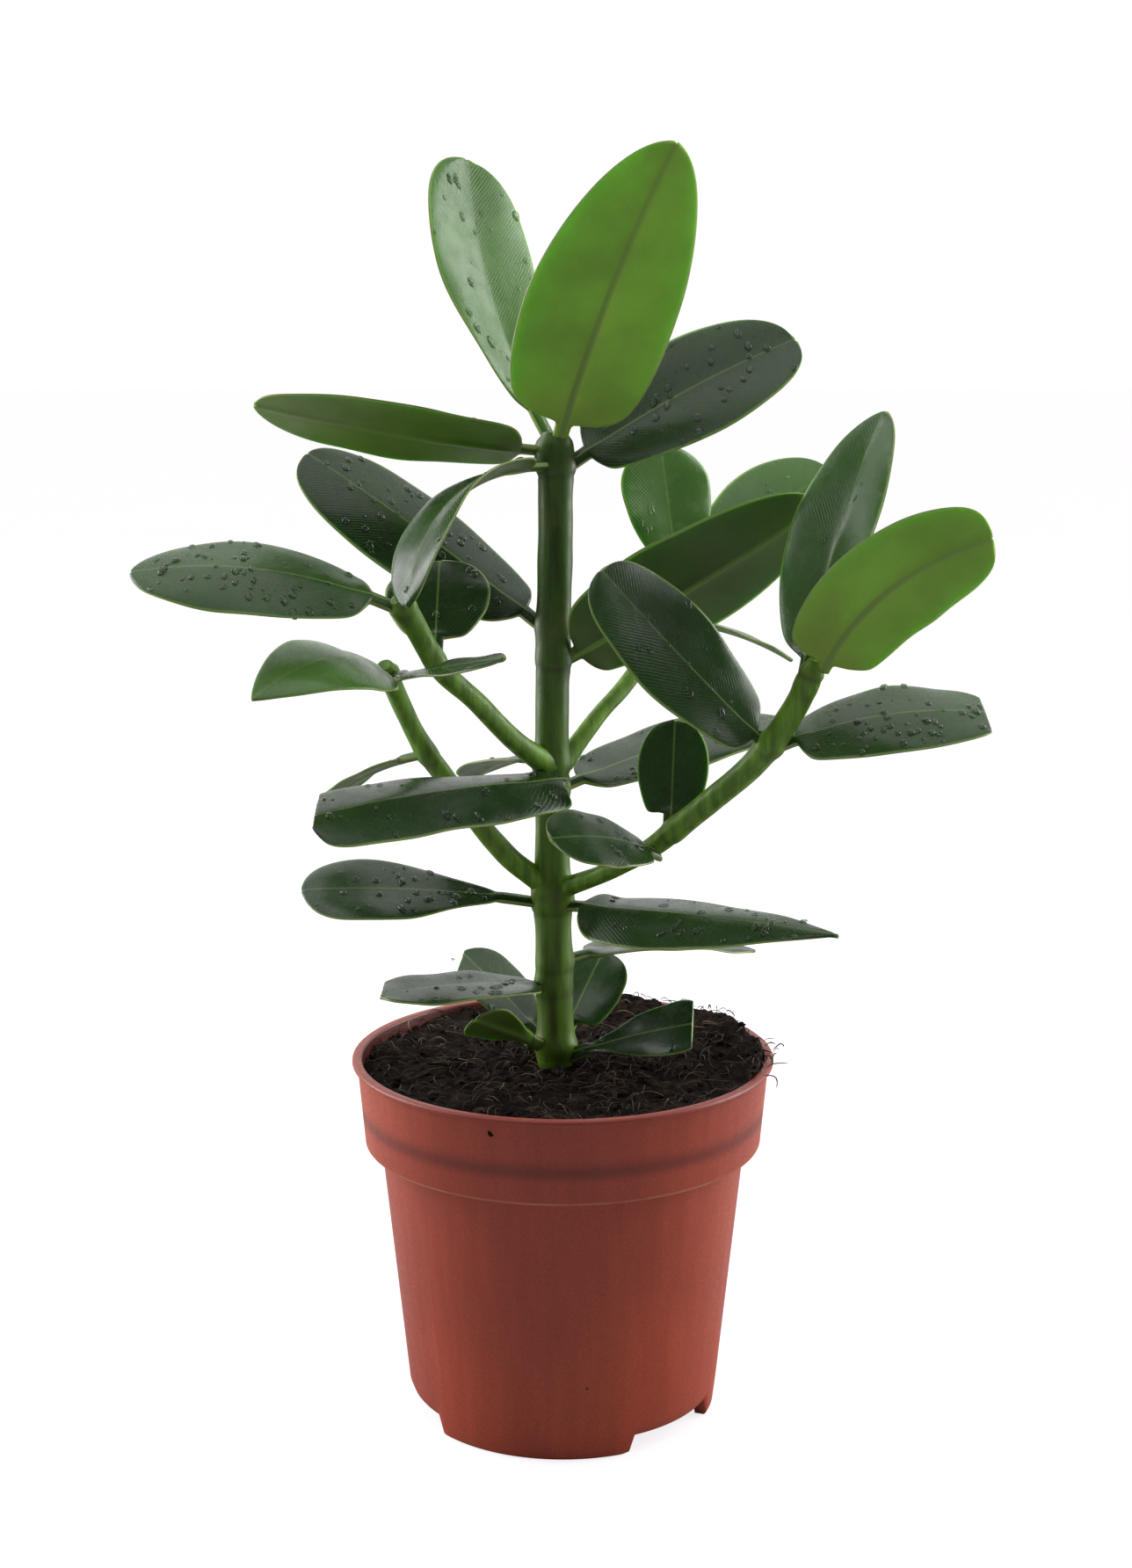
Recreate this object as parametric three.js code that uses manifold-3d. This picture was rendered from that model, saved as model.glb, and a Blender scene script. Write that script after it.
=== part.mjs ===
// Young autograph tree (Clusia) in a round plastic nursery pot. Millimetres, +Z up.
// The pot stands on z = 0 with its axis on the Z axis, and the plant's front faces -Y.
import * as THREE from 'three';
import Module from 'manifold-3d';
import { mergeVertices } from 'three/addons/utils/BufferGeometryUtils.js';

const wasm = await Module();
wasm.setup();

const RADIANS = Math.PI / 180;
const GAP = 0.3; // clearance between pieces that touch
const WELD_DISTANCE = 1e-4; // corners nearer than this are one

// ---- Pot ----
const POT_HEIGHT = 104;
const RIM_RADIUS = 60;
const RIM_BEAD_HEIGHT = 1.7;
const COLLAR_TOP_RADIUS = 58.5;
const COLLAR_BOTTOM_RADIUS = 56.5;
const COLLAR_HEIGHT = 25;
const BODY_TOP_RADIUS = 52;
const BODY_BOTTOM_RADIUS = 43.8;
const POT_WALL = 1.4;
const FLOOR_HEIGHT = 6;
const FLOOR_THICKNESS = 1.3;
const FOOT_RING_WIDTH = 3.4;
const FOOT_COUNT = 3;
const FOOT_ARC_DEGREES = 77;
const FIRST_FOOT_DEGREES = -52; // measured from -Y towards +X
const NOTCH_HEIGHT = 5;
const NOTCH_SLANT = 2;
const DRAIN_RADIUS = 4;
const DRAIN_RING_RADIUS = 26;
const DRAIN_COUNT = 6;
const DRAIN_SIDES = 16;
const CHAMFER = 1; // slope of the collar's lower edge and of the foot's inner wall
const EDGE_ROUNDING = 0.6; // rounding of the foot and the floor's corner
const LIP_ROUNDING = 0.4; // rounding of the rim
const POT_SEGMENTS = 48;

// ---- Soil ----
const SOIL_LEVEL = 100;
const SOIL_CROWN = 1.6; // height of the mound at the stem
const SOIL_LEAN = 0.02; // rise towards the back and the right
const SOIL_RINGS = [0.9, 0.65, 0.35]; // rings of the top surface, as shares of its radius
const SOIL_EDGE_DROP = 0.5; // how far the soil's edge lies under its level
const SOIL_SEGMENTS = 40;

// ---- Leaves ----
const LEAF_THICKNESS = 1;
const EDGE_THICKNESS = 0.6;
const PETIOLE_WIDTH = 4.4;
const PETIOLE_THICKNESS = 2.6;
const ROOTING = 1; // how far inside the stem's surface a stalk starts
const FOLD_FADE = 0.45; // share of the fold that is gone at the tip
const LEAF_STATIONS = 8;
const LEAF_COLUMNS = 5;

const STEM_SIDES = 10;

const MATERIALS = {
  pot: new THREE.MeshStandardMaterial({ color: 0x9c4a3c, roughness: 0.4, metalness: 0 }),
  soil: new THREE.MeshStandardMaterial({ color: 0x241a15, roughness: 0.95, metalness: 0 }),
  stem: new THREE.MeshStandardMaterial({ color: 0x5d7f2c, roughness: 0.5, metalness: 0 }),
  leaf: new THREE.MeshStandardMaterial({ color: 0x3f5f3a, roughness: 0.4, metalness: 0 }),
};

// Each stem is a smooth curve through its points, with a radius at even steps along it.
const STEMS = {
  main_stem: {
    points: [[-2, 0, 76], [-2, 0, 100], [-3, 0, 155], [-3, 0, 205], [-2, 0, 254], [-2, 0, 280]],
    radii: [5.3, 5.2, 5.1, 4.6, 4.7, 4.8, 4.7],
    sections: 16,
  },
  branch_left_low: {
    grows_on: 'main_stem',
    points: [[-4, -1, 153], [-15, -3, 162], [-27, -4, 177], [-40, -7, 197], [-46, -14, 212],
      [-48, -19, 219]],
    radii: [3.2, 3.0, 2.8, 2.6, 2.8],
    sections: 11,
  },
  branch_left_high: {
    grows_on: 'main_stem',
    points: [[-4, -2, 188], [-13, -9, 196], [-24, -17, 209], [-33, -24, 219], [-39, -30, 231],
      [-43, -34, 239]],
    radii: [3.4, 2.8, 2.8, 3.0, 3.4],
    sections: 11,
  },
  branch_right_high: {
    grows_on: 'main_stem',
    points: [[0, 2, 188], [10, 10, 200], [19, 18, 209], [28, 28, 223], [35, 36, 236]],
    radii: [2.6, 2.3, 2.3, 2.4],
    sections: 10,
  },
  branch_right_low: {
    grows_on: 'main_stem',
    points: [[0, -2, 153], [10, -8, 158], [24, -14, 167], [38, -20, 180], [52, -26, 194], [61, -30, 208],
      [67, -32, 222]],
    radii: [2.6, 2.5, 3.2, 3.4, 3.4, 3.2],
    sections: 14,
  },
};

// One leaf per row. `on` is the stem and how far along it the leaf grows, or `from` is its base.
// `to` is the tip. `arch`, `sweep` bow the midrib out of and in the leaf's plane, `roll` turns the
// leaf about its length, `fold` raises the two halves, and `base`, `end` set how blunt the ends are.
// `trim` is a point and a direction: the blunt tip is cut off there.
const LEAVES = {
  crown_front_leaf: { stem: 'main_stem', from: [-1, -2.4, 278], to: [29, -28, 355], width: 42,
    base: 0.3, end: 0.55, arch: 0.03, sweep: 0.015, roll: -40, fold: 8, petiole: 5 },
  crown_back_leaf: { stem: 'main_stem', from: [-3.6, 2.6, 278], to: [-27, 35, 353], width: 38,
    base: 0.75, end: 0.43, arch: -0.03, sweep: -0.045, roll: 10, fold: 10, petiole: 8 },
  crown_right_leaf: { stem: 'main_stem', on: 0.955, to: [64, 15, 304], width: 35, base: 0.45,
    end: 0.42, arch: 0.05, roll: 45, fold: 8 },
  crown_left_leaf: { stem: 'main_stem', on: 0.975, to: [-82, -12, 288], width: 38, base: 0.36,
    end: 0.42, arch: -0.02, roll: 26, fold: 4 },
  crown_front_left_leaf: { stem: 'main_stem', on: 0.955, to: [-40, -50, 239], width: 26, base: 0.4,
    end: 0.5, arch: 0.17, roll: 22, fold: 12 },
  middle_left_leaf: { stem: 'main_stem', on: 0.739, to: [-72, 25, 272], width: 34, base: 0.42,
    end: 0.36, arch: 0.02, roll: -28, fold: -12 },
  middle_right_leaf: { stem: 'main_stem', on: 0.695, to: [70, -6, 261], width: 36, base: 0.35,
    end: 0.5, arch: -0.02, roll: -58, fold: 14, petiole: 4 },
  branching_left_leaf: { stem: 'main_stem', from: [1, -8, 184.5], to: [-66, -58, 185], width: 29,
    base: 0.25, end: 0.14, arch: 0.03, roll: -20, fold: -20, petiole: 3, trim: [[-64, 0, 0], [-1, 0, 0]] },
  branching_right_leaf: { stem: 'main_stem', on: 0.515, to: [64, 38, 194], width: 32, base: 0.4,
    end: 0.4, arch: 0.03, roll: 10, fold: 0 },
  branching_back_leaf: { stem: 'main_stem', on: 0.548, to: [-25, 45, 176], width: 26, base: 0.6,
    end: 0.5, arch: 0.06, roll: -5, fold: 6 },
  low_left_leaf: { stem: 'main_stem', on: 0.355, to: [-72, -12, 154.5], width: 33, base: 1.1,
    end: 0.45, arch: 0.03, roll: -18, fold: 2, petiole: 10 },
  low_right_leaf: { stem: 'main_stem', on: 0.352, to: [73, -45, 150.5], width: 28, base: 0.42, end: 1,
    arch: 0.015, roll: 18, fold: -20 },
  lowest_left_leaf: { stem: 'main_stem', on: 0.238, to: [-50, -30, 129.5], width: 25, base: 0.35,
    end: 0.3, arch: 0.03, roll: -4, fold: 2, petiole: 3, trim: [[-49.5, 0, 129.5], [-0.9, 0, 0.35]] },
  lowest_right_leaf: { stem: 'main_stem', on: 0.27, to: [56, 30, 126], width: 24, base: 0.5, end: 0.5,
    arch: 0.06, roll: 0, fold: 6 },
  soil_left_back_leaf: { stem: 'main_stem', on: 0.15, to: [-30, 24, 127], width: 26, base: 0.6,
    end: 0.3, arch: 0.02, roll: 0, fold: 6, trim: [[-29, 0, 127], [-0.85, 0, 0.5]] },
  soil_right_back_leaf: { stem: 'main_stem', on: 0.15, to: [12, 24, 127], width: 25, base: 0.4,
    end: 0.45, arch: 0.02, roll: 0, fold: 6 },
  soil_left_front_leaf: { stem: 'main_stem', on: 0.15, to: [-24, -20, 120], width: 15, base: 1,
    end: 0.3, arch: 0.02, roll: 45, fold: 2 },
  soil_right_front_leaf: { stem: 'main_stem', on: 0.135, to: [38, -19, 118.5], width: 18, base: 1.1,
    end: 0.25, arch: 0.04, roll: 45, fold: 2, trim: [[36, 0, 117], [1, 0, -0.1]] },
  left_low_tip_leaf: { stem: 'branch_left_low', on: 0.98, to: [-79, -58, 216], width: 30, base: 0.4,
    end: 0.8, arch: 0.16, sweep: 0, roll: -22, fold: -8, petiole: 3 },
  left_low_small_leaf: { stem: 'branch_left_low', on: 0.95, to: [-15, -54, 226], width: 11, base: 1.5,
    end: 0.5, arch: 0.03, sweep: 0.08, roll: 22, fold: 5 },
  left_low_inner_leaf: { stem: 'branch_left_low', on: 0.62, to: [-67, 10, 175], width: 20, base: 0.6,
    end: 0.5, arch: 0.06, roll: 0, fold: 5 },
  left_high_tip_leaf: { stem: 'branch_left_high', on: 0.97, to: [-112, -38, 246], width: 33,
    base: 0.55, end: 0.5, arch: 0.09, roll: -28, fold: -12 },
  left_high_round_leaf: { stem: 'branch_left_high', on: 0.7, to: [-34, 5, 244], width: 29, base: 0.5,
    end: 0.42, arch: 0.02, roll: 0, fold: 5 },
  right_high_left_leaf: { stem: 'branch_right_high', on: 0.97, to: [28, 43, 273], width: 31, base: 0.6,
    end: 0.42, arch: 0, roll: 0, fold: 6 },
  right_high_right_leaf: { stem: 'branch_right_high', on: 0.95, to: [80, 63, 264], width: 32,
    base: 0.6, end: 0.42, arch: 0.08, roll: 40, fold: 0 },
  right_high_low_leaf: { stem: 'branch_right_high', on: 0.8, to: [67, 40, 211], width: 14, base: 0.7,
    end: 0.9, arch: 0.06, roll: 0, fold: 6 },
  right_low_tip_leaf: { stem: 'branch_right_low', on: 0.98, to: [110, -46, 256], width: 32, base: 0.24,
    end: 0.27, arch: 0, sweep: 0.12, roll: -60, fold: 5, petiole: 3 },
  right_low_back_leaf: { stem: 'branch_right_low', on: 0.93, to: [86, -12, 286], width: 33, base: 0.55,
    end: 0.6, arch: 0.04, roll: 0, fold: 20 },
  right_low_front_leaf: { stem: 'branch_right_low', on: 0.74, to: [10, -34, 246], width: 31,
    base: 0.45, end: 0.36, arch: 0.03, sweep: -0.03, roll: -55, fold: 3, petiole: 3 },
  right_low_side_leaf: { stem: 'branch_right_low', on: 0.75, to: [116, -26, 206.5], width: 34,
    base: 0.36, end: 0.35, arch: 0.08, roll: 20, fold: -4, petiole: 5,
    trim: [[113.5, 0, 203], [1, 0, 0.1]] },
  right_low_upright_leaf: { stem: 'branch_right_low', on: 0.38, to: [31, -5, 201], width: 20,
    base: 0.4, end: 0.4, arch: 0, roll: 0, fold: 6, petiole: 3 },
  right_low_inner_leaf: { stem: 'branch_right_low', from: [26.4, -16.4, 165.4], to: [-3, -38, 175],
    width: 25, base: 0.6, end: 0.42, arch: 0.08, roll: -28, fold: 0, petiole: 5 },
};
const USUAL_PETIOLE = 6;

function vector(xyz) {
  return new THREE.Vector3(...xyz);
}

function solidFrom(corners, faces) {
  const mesh = new wasm.Mesh({
    numProp: 3,
    vertProperties: Float32Array.from(corners),
    triVerts: Uint32Array.from(faces),
  });
  mesh.merge();
  return new wasm.Manifold(mesh);
}

// A closed solid through rings of equal length, each ring running out along one face and back.
function loft(rings) {
  const count = rings[0].length;
  const corners = rings.flat().flatMap((point) => [point.x, point.y, point.z]);
  const faces = [];
  for (let r = 0; r + 1 < rings.length; r += 1) {
    for (let i = 0; i < count; i += 1) {
      const a = r * count + i;
      const b = r * count + ((i + 1) % count);
      faces.push(a, b, b + count, a, b + count, a + count);
    }
  }
  const last = (rings.length - 1) * count;
  for (let i = 0; i + 1 < count / 2; i += 1) {
    const [a, b, c, d] = [i, i + 1, count - 2 - i, count - 1 - i];
    faces.push(a, c, b, a, d, c);
    faces.push(last + a, last + b, last + c, last + a, last + c, last + d);
  }
  const solid = solidFrom(corners, faces);
  if (solid.volume() > 0) {
    return solid;
  }
  return solidFrom(corners, faces.reverse());
}

function solidOf(geometry) {
  const plain = geometry.clone();
  plain.deleteAttribute('normal');
  plain.deleteAttribute('uv');
  const merged = mergeVertices(plain, WELD_DISTANCE);
  return solidFrom(merged.attributes.position.array, merged.index.array);
}

function geometryOf(solid) {
  const mesh = solid.getMesh();
  const geometry = new THREE.BufferGeometry();
  geometry.setAttribute('position', new THREE.BufferAttribute(Float32Array.from(mesh.vertProperties), 3));
  geometry.setIndex(Array.from(mesh.triVerts));
  geometry.computeVertexNormals();
  return geometry;
}

function piece(name, solid, material) {
  const mesh = new THREE.Mesh(geometryOf(solid), material.clone());
  mesh.name = name;
  return mesh;
}

function radiusAlong(radii, along) {
  const place = along * (radii.length - 1);
  const step = Math.min(Math.floor(place), radii.length - 2);
  return THREE.MathUtils.lerp(radii[step], radii[step + 1], place - step);
}

// The solid of a stem. `growth` widens it, to cut room for what touches it.
function stemSolid({ points, radii, sections }, growth = 0) {
  const curve = new THREE.CatmullRomCurve3(points.map(vector));
  const rings = [];
  for (let s = 0; s < sections; s += 1) {
    const along = s / (sections - 1);
    const centre = curve.getPointAt(along);
    const tangent = curve.getTangentAt(along);
    const side = new THREE.Vector3(0, -1, 0).cross(tangent).normalize();
    const front = tangent.clone().cross(side);
    const radius = radiusAlong(radii, along) + growth;
    if (s === 0) {
      centre.addScaledVector(tangent, -growth);
    }
    if (s === sections - 1) {
      centre.addScaledVector(tangent, growth);
    }
    rings.push(Array.from({ length: STEM_SIDES }, (_, i) => {
      const angle = (2 * Math.PI * i) / STEM_SIDES;
      return centre.clone()
        .addScaledVector(side, radius * Math.cos(angle))
        .addScaledVector(front, radius * Math.sin(angle));
    }));
  }
  return loft(rings);
}

// Half the leaf's width at `along`, from 0 at the base to 1 at the tip.
function halfWidth(leaf, along, length) {
  const petioleShare = (leaf.petiole ?? USUAL_PETIOLE) / length;
  if (along <= petioleShare) {
    return PETIOLE_WIDTH / 2;
  }
  const blade = (along - petioleShare) / (1 - petioleShare);
  const widest = leaf.base / (leaf.base + leaf.end);
  const shape = (b) => b ** leaf.base * (1 - b) ** leaf.end;
  const outline = (leaf.width / 2) * (shape(blade) / shape(widest));
  return Math.max((PETIOLE_WIDTH / 2) * (1 - blade), outline, EDGE_THICKNESS);
}

// The stations run from 0 to 1, close together at both ends of the blade.
function leafStations(petioleShare) {
  const stations = [0, petioleShare];
  for (let s = 1; s < LEAF_STATIONS; s += 1) {
    const share = (1 - Math.cos((Math.PI * s) / (LEAF_STATIONS - 1))) / 2;
    stations.push(petioleShare + (1 - petioleShare) * share);
  }
  return stations;
}

function leafBase(leaf) {
  if (leaf.from) {
    return vector(leaf.from);
  }
  const { points, radii } = STEMS[leaf.stem];
  const curve = new THREE.CatmullRomCurve3(points.map(vector));
  const centre = curve.getPointAt(leaf.on);
  const tangent = curve.getTangentAt(leaf.on);
  const outward = vector(leaf.to).sub(centre);
  outward.addScaledVector(tangent, -outward.dot(tangent)).normalize();
  return centre.addScaledVector(outward, radiusAlong(radii, leaf.on) - ROOTING);
}

function leafSolid(leaf) {
  const from = leafBase(leaf);
  const to = vector(leaf.to);
  const chord = to.clone().sub(from);
  const length = chord.length();
  const forward = chord.clone().normalize();
  const level = new THREE.Vector3(0, 0, 1).addScaledVector(forward, -forward.z).normalize();
  const across = forward.clone().cross(level);
  const roll = leaf.roll * RADIANS;
  const up = level.clone().multiplyScalar(Math.cos(roll)).addScaledVector(across, Math.sin(roll));
  const side = forward.clone().cross(up);
  const control = from.clone()
    .addScaledVector(chord, 0.5)
    .addScaledVector(up, 2 * leaf.arch * length)
    .addScaledVector(side, 2 * (leaf.sweep ?? 0) * length);
  const midrib = new THREE.QuadraticBezierCurve3(from, control, to);
  const petioleShare = (leaf.petiole ?? USUAL_PETIOLE) / length;
  const rings = leafStations(petioleShare).map((along) => {
    const centre = midrib.getPoint(along);
    const tangent = midrib.getTangent(along);
    const normal = up.clone().addScaledVector(tangent, -up.dot(tangent)).normalize();
    const right = tangent.clone().cross(normal);
    const half = halfWidth(leaf, along, length);
    const inPetiole = along <= petioleShare;
    const rise = inPetiole ? 0 : leaf.fold * (1 - FOLD_FADE * along) * RADIANS;
    const middle = inPetiole ? PETIOLE_THICKNESS : LEAF_THICKNESS;
    const upper = [];
    const lower = [];
    for (let c = 0; c < LEAF_COLUMNS; c += 1) {
      const share = (2 * c) / (LEAF_COLUMNS - 1) - 1;
      const out = Math.abs(share) * half;
      const thickness = THREE.MathUtils.lerp(middle, EDGE_THICKNESS, Math.abs(share));
      const point = centre.clone()
        .addScaledVector(right, Math.sign(share) * out * Math.cos(rise))
        .addScaledVector(normal, out * Math.sin(rise));
      upper.push(point.clone().addScaledVector(normal, thickness / 2));
      lower.push(point.clone().addScaledVector(normal, -thickness / 2));
    }
    return [...upper, ...lower.reverse()];
  });
  const solid = loft(rings);
  if (!leaf.trim) {
    return solid;
  }
  const [place, outward] = leaf.trim.map(vector);
  const inward = outward.normalize().negate();
  return solid.trimByPlane(inward.toArray(), inward.dot(place));
}

function lathe(profile, segments) {
  const outline = profile.map(([radius, height]) => new THREE.Vector2(radius, height));
  return solidOf(new THREE.LatheGeometry(outline, segments).rotateX(Math.PI / 2));
}

function potSolid() {
  const ledge = POT_HEIGHT - COLLAR_HEIGHT;
  const bead = POT_HEIGHT - RIM_BEAD_HEIGHT;
  const inside = FLOOR_HEIGHT + FLOOR_THICKNESS;
  const shell = lathe([
    [0, FLOOR_HEIGHT],
    [BODY_BOTTOM_RADIUS - FOOT_RING_WIDTH - CHAMFER, FLOOR_HEIGHT],
    [BODY_BOTTOM_RADIUS - FOOT_RING_WIDTH, 0],
    [BODY_BOTTOM_RADIUS - EDGE_ROUNDING, 0],
    [BODY_BOTTOM_RADIUS, EDGE_ROUNDING],
    [BODY_TOP_RADIUS, ledge],
    [COLLAR_BOTTOM_RADIUS - CHAMFER, ledge],
    [COLLAR_BOTTOM_RADIUS, ledge + CHAMFER],
    [COLLAR_TOP_RADIUS, bead],
    [RIM_RADIUS - LIP_ROUNDING, bead],
    [RIM_RADIUS, bead + LIP_ROUNDING],
    [RIM_RADIUS - LIP_ROUNDING, POT_HEIGHT],
    [COLLAR_TOP_RADIUS - POT_WALL + LIP_ROUNDING, POT_HEIGHT],
    [COLLAR_TOP_RADIUS - POT_WALL, bead],
    [COLLAR_BOTTOM_RADIUS - POT_WALL, ledge + POT_WALL],
    [BODY_TOP_RADIUS - POT_WALL, ledge],
    [BODY_BOTTOM_RADIUS - POT_WALL + EDGE_ROUNDING, inside],
    [0, inside],
  ], POT_SEGMENTS);

  const notchArc = 360 / FOOT_COUNT - FOOT_ARC_DEGREES;
  const halfNotch = BODY_BOTTOM_RADIUS * Math.sin((notchArc / 2) * RADIANS);
  const outline = new THREE.Shape([
    new THREE.Vector2(-halfNotch, -1),
    new THREE.Vector2(halfNotch, -1),
    new THREE.Vector2(halfNotch - NOTCH_SLANT, NOTCH_HEIGHT),
    new THREE.Vector2(-halfNotch + NOTCH_SLANT, NOTCH_HEIGHT),
  ]);
  const drain = solidOf(
    new THREE.CylinderGeometry(DRAIN_RADIUS, DRAIN_RADIUS, 4 * FLOOR_THICKNESS, DRAIN_SIDES)
      .rotateX(Math.PI / 2)
      .translate(0, 0, FLOOR_HEIGHT),
  );
  let pot = shell.subtract(drain);
  for (let foot = 0; foot < FOOT_COUNT; foot += 1) {
    const middle = FIRST_FOOT_DEGREES + FOOT_ARC_DEGREES + notchArc / 2 + (foot * 360) / FOOT_COUNT;
    const notch = new THREE.ExtrudeGeometry(outline, { depth: BODY_BOTTOM_RADIUS, bevelEnabled: false })
      .rotateX(Math.PI / 2)
      .translate(0, -BODY_BOTTOM_RADIUS + 2 * FOOT_RING_WIDTH, 0)
      .rotateZ(middle * RADIANS);
    pot = pot.subtract(solidOf(notch));
  }
  for (let hole = 0; hole < DRAIN_COUNT; hole += 1) {
    const angle = (hole * 360) / DRAIN_COUNT;
    pot = pot.subtract(drain.translate([0, -DRAIN_RING_RADIUS, 0]).rotate([0, 0, angle]));
  }
  return pot;
}

function soilSolid(stemRoom) {
  const ledge = POT_HEIGHT - COLLAR_HEIGHT;
  const bottom = FLOOR_HEIGHT + FLOOR_THICKNESS + GAP;
  const inset = POT_WALL + 2 * GAP;
  const topRadius = COLLAR_TOP_RADIUS - inset;
  const topRings = SOIL_RINGS.map((share) => [topRadius * share, SOIL_LEVEL + SOIL_CROWN * (1 - share)]);
  const body = new THREE.LatheGeometry([
    [0, bottom],
    [BODY_BOTTOM_RADIUS - inset + EDGE_ROUNDING, bottom],
    [BODY_TOP_RADIUS - inset, ledge],
    [COLLAR_BOTTOM_RADIUS - inset - GAP, ledge + POT_WALL + 2 * GAP],
    [topRadius, SOIL_LEVEL - SOIL_EDGE_DROP],
    ...topRings,
    [0, SOIL_LEVEL + SOIL_CROWN],
  ].map(([radius, height]) => new THREE.Vector2(radius, height)), SOIL_SEGMENTS).rotateX(Math.PI / 2);
  const place = body.attributes.position;
  for (let i = 0; i < place.count; i += 1) {
    const [x, y, z] = [place.getX(i), place.getY(i), place.getZ(i)];
    if (z > SOIL_LEVEL - 1) {
      place.setZ(i, z + SOIL_LEAN * (x + y));
    }
  }
  return solidOf(body).subtract(stemRoom);
}

const plant = new THREE.Group();
plant.name = 'potted_autograph_tree';

const stemRooms = {};
const stemSolids = {};
for (const [name, stem] of Object.entries(STEMS)) {
  const solid = stemSolid(stem);
  stemSolids[name] = stem.grows_on ? solid.subtract(stemRooms[stem.grows_on]) : solid;
  stemRooms[name] = stemSolid(stem, GAP);
}

plant.add(piece('pot', potSolid(), MATERIALS.pot));
plant.add(piece('soil', soilSolid(stemRooms.main_stem), MATERIALS.soil));
for (const [name, solid] of Object.entries(stemSolids)) {
  plant.add(piece(name, solid, MATERIALS.stem));
}
for (const [name, leaf] of Object.entries(LEAVES)) {
  plant.add(piece(name, leafSolid(leaf).subtract(stemRooms[leaf.stem]), MATERIALS.leaf));
}

export default plant;
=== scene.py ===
"""A young autograph tree in a nursery pot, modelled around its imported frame."""

import math
import random

import bpy
from mathutils import Matrix, Vector, noise


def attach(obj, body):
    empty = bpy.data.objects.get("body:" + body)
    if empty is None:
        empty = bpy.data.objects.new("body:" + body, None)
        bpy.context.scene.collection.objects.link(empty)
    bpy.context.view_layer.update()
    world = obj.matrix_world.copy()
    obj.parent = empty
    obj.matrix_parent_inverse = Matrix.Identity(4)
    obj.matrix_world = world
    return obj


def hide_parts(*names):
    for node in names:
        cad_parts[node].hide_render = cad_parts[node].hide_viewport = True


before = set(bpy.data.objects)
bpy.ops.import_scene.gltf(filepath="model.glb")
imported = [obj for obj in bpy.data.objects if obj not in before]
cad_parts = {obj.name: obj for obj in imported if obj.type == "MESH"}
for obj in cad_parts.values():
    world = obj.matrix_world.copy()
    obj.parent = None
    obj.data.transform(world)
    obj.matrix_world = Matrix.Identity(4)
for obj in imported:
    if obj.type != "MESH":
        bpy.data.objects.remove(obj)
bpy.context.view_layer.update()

bl_info = {
    "name": "Potted Autograph Tree",
    "version": (1, 0, 0),
    "blender": (4, 5, 0),
    "location": "3D View > Sidebar > Plant",
    "description": "Builds a young autograph tree in a round nursery pot",
    "category": "Add Mesh",
}

MM = 0.001

# The pot's own sizes, which the soil inside it and the feet follow.
POT_WALL = 1.4 * MM
COLLAR_HEIGHT = 25 * MM
COLLAR_TOP = 58.5 * MM
COLLAR_BOTTOM = 56.5 * MM
BODY_TOP = 52 * MM
FOOT_RADIUS = 43.8 * MM
FOOT_RING = 3.4 * MM
FLOOR_UNDER = 6 * MM
FLOOR_TOP = 7.3 * MM
FOOT_COUNT = 3
FOOT_ARC = 77
FIRST_FOOT = -52  # degrees from -Y towards +X
NOTCH_HEIGHT = 5 * MM
DRAIN_RADIUS = 4 * MM
DRAIN_RING = 26 * MM
DRAINS_AROUND = 6

SOIL_RADIUS = 56.8 * MM
SOIL_LEAN = 0.02  # rise towards the back and the right
# Roughness of the soil: height in millimetres, how fine it is, and where its pattern starts.
SOIL_BUMPS = ((1.6, 95, (0, 0, 0)), (1.1, 260, (3, 1, 7)), (0.7, 620, (9, 4, 2)))
UNDERGROUND = 0.12  # share of the soil's rows that lie below its surface

WORN_EDGE = (0.62, 0.24, 0.13, 1)
POT_SPECK = (0.05, 0.012, 0.010, 1)
# Painted shade: the darker line on the rim's lip.
RIM_LIP_SHADE = (0.15, 0.03, 0.03, 1)
# Painted shade: the dark inner wall of the pot.
INNER_WALL_SHADE = (0.10, 0.018, 0.018, 1)
LEAF_EDGE = (0.36, 0.47, 0.14, 1)
UPPER_RIB = (0.20, 0.32, 0.09, 1)
UNDER_RIB = (0.26, 0.40, 0.10, 1)
FRESH_BARK = (0.20, 0.40, 0.035, 1)
BARK_PATCH = (0.16, 0.20, 0.05, 1)
BARK_SCAR = (0.030, 0.020, 0.008, 1)
BARK_SPECK = (0.06, 0.045, 0.015, 1)
SOIL_THREAD = (0.12, 0.072, 0.038, 1)

CAMERA_PLACE = (0.0009, -0.700, 0.326)
CAMERA_TILT = 78.4  # degrees up from straight down
CAMERA_LENS = 58.74
# Name, place, what it faces, width, height and power.
SOFTBOXES = (
    ("left softbox", (-0.9, 0.25, 0.35), (0, 0, 0.12), 0.6, 1.1, 10.0),
    ("right softbox", (0.9, 0.25, 0.35), (0, 0, 0.12), 0.6, 1.1, 10.0),
    ("overhead softbox", (-0.15, -0.1, 1.15), (0, 0, 0.2), 1.4, 0.9, 3.0),
)

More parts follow.
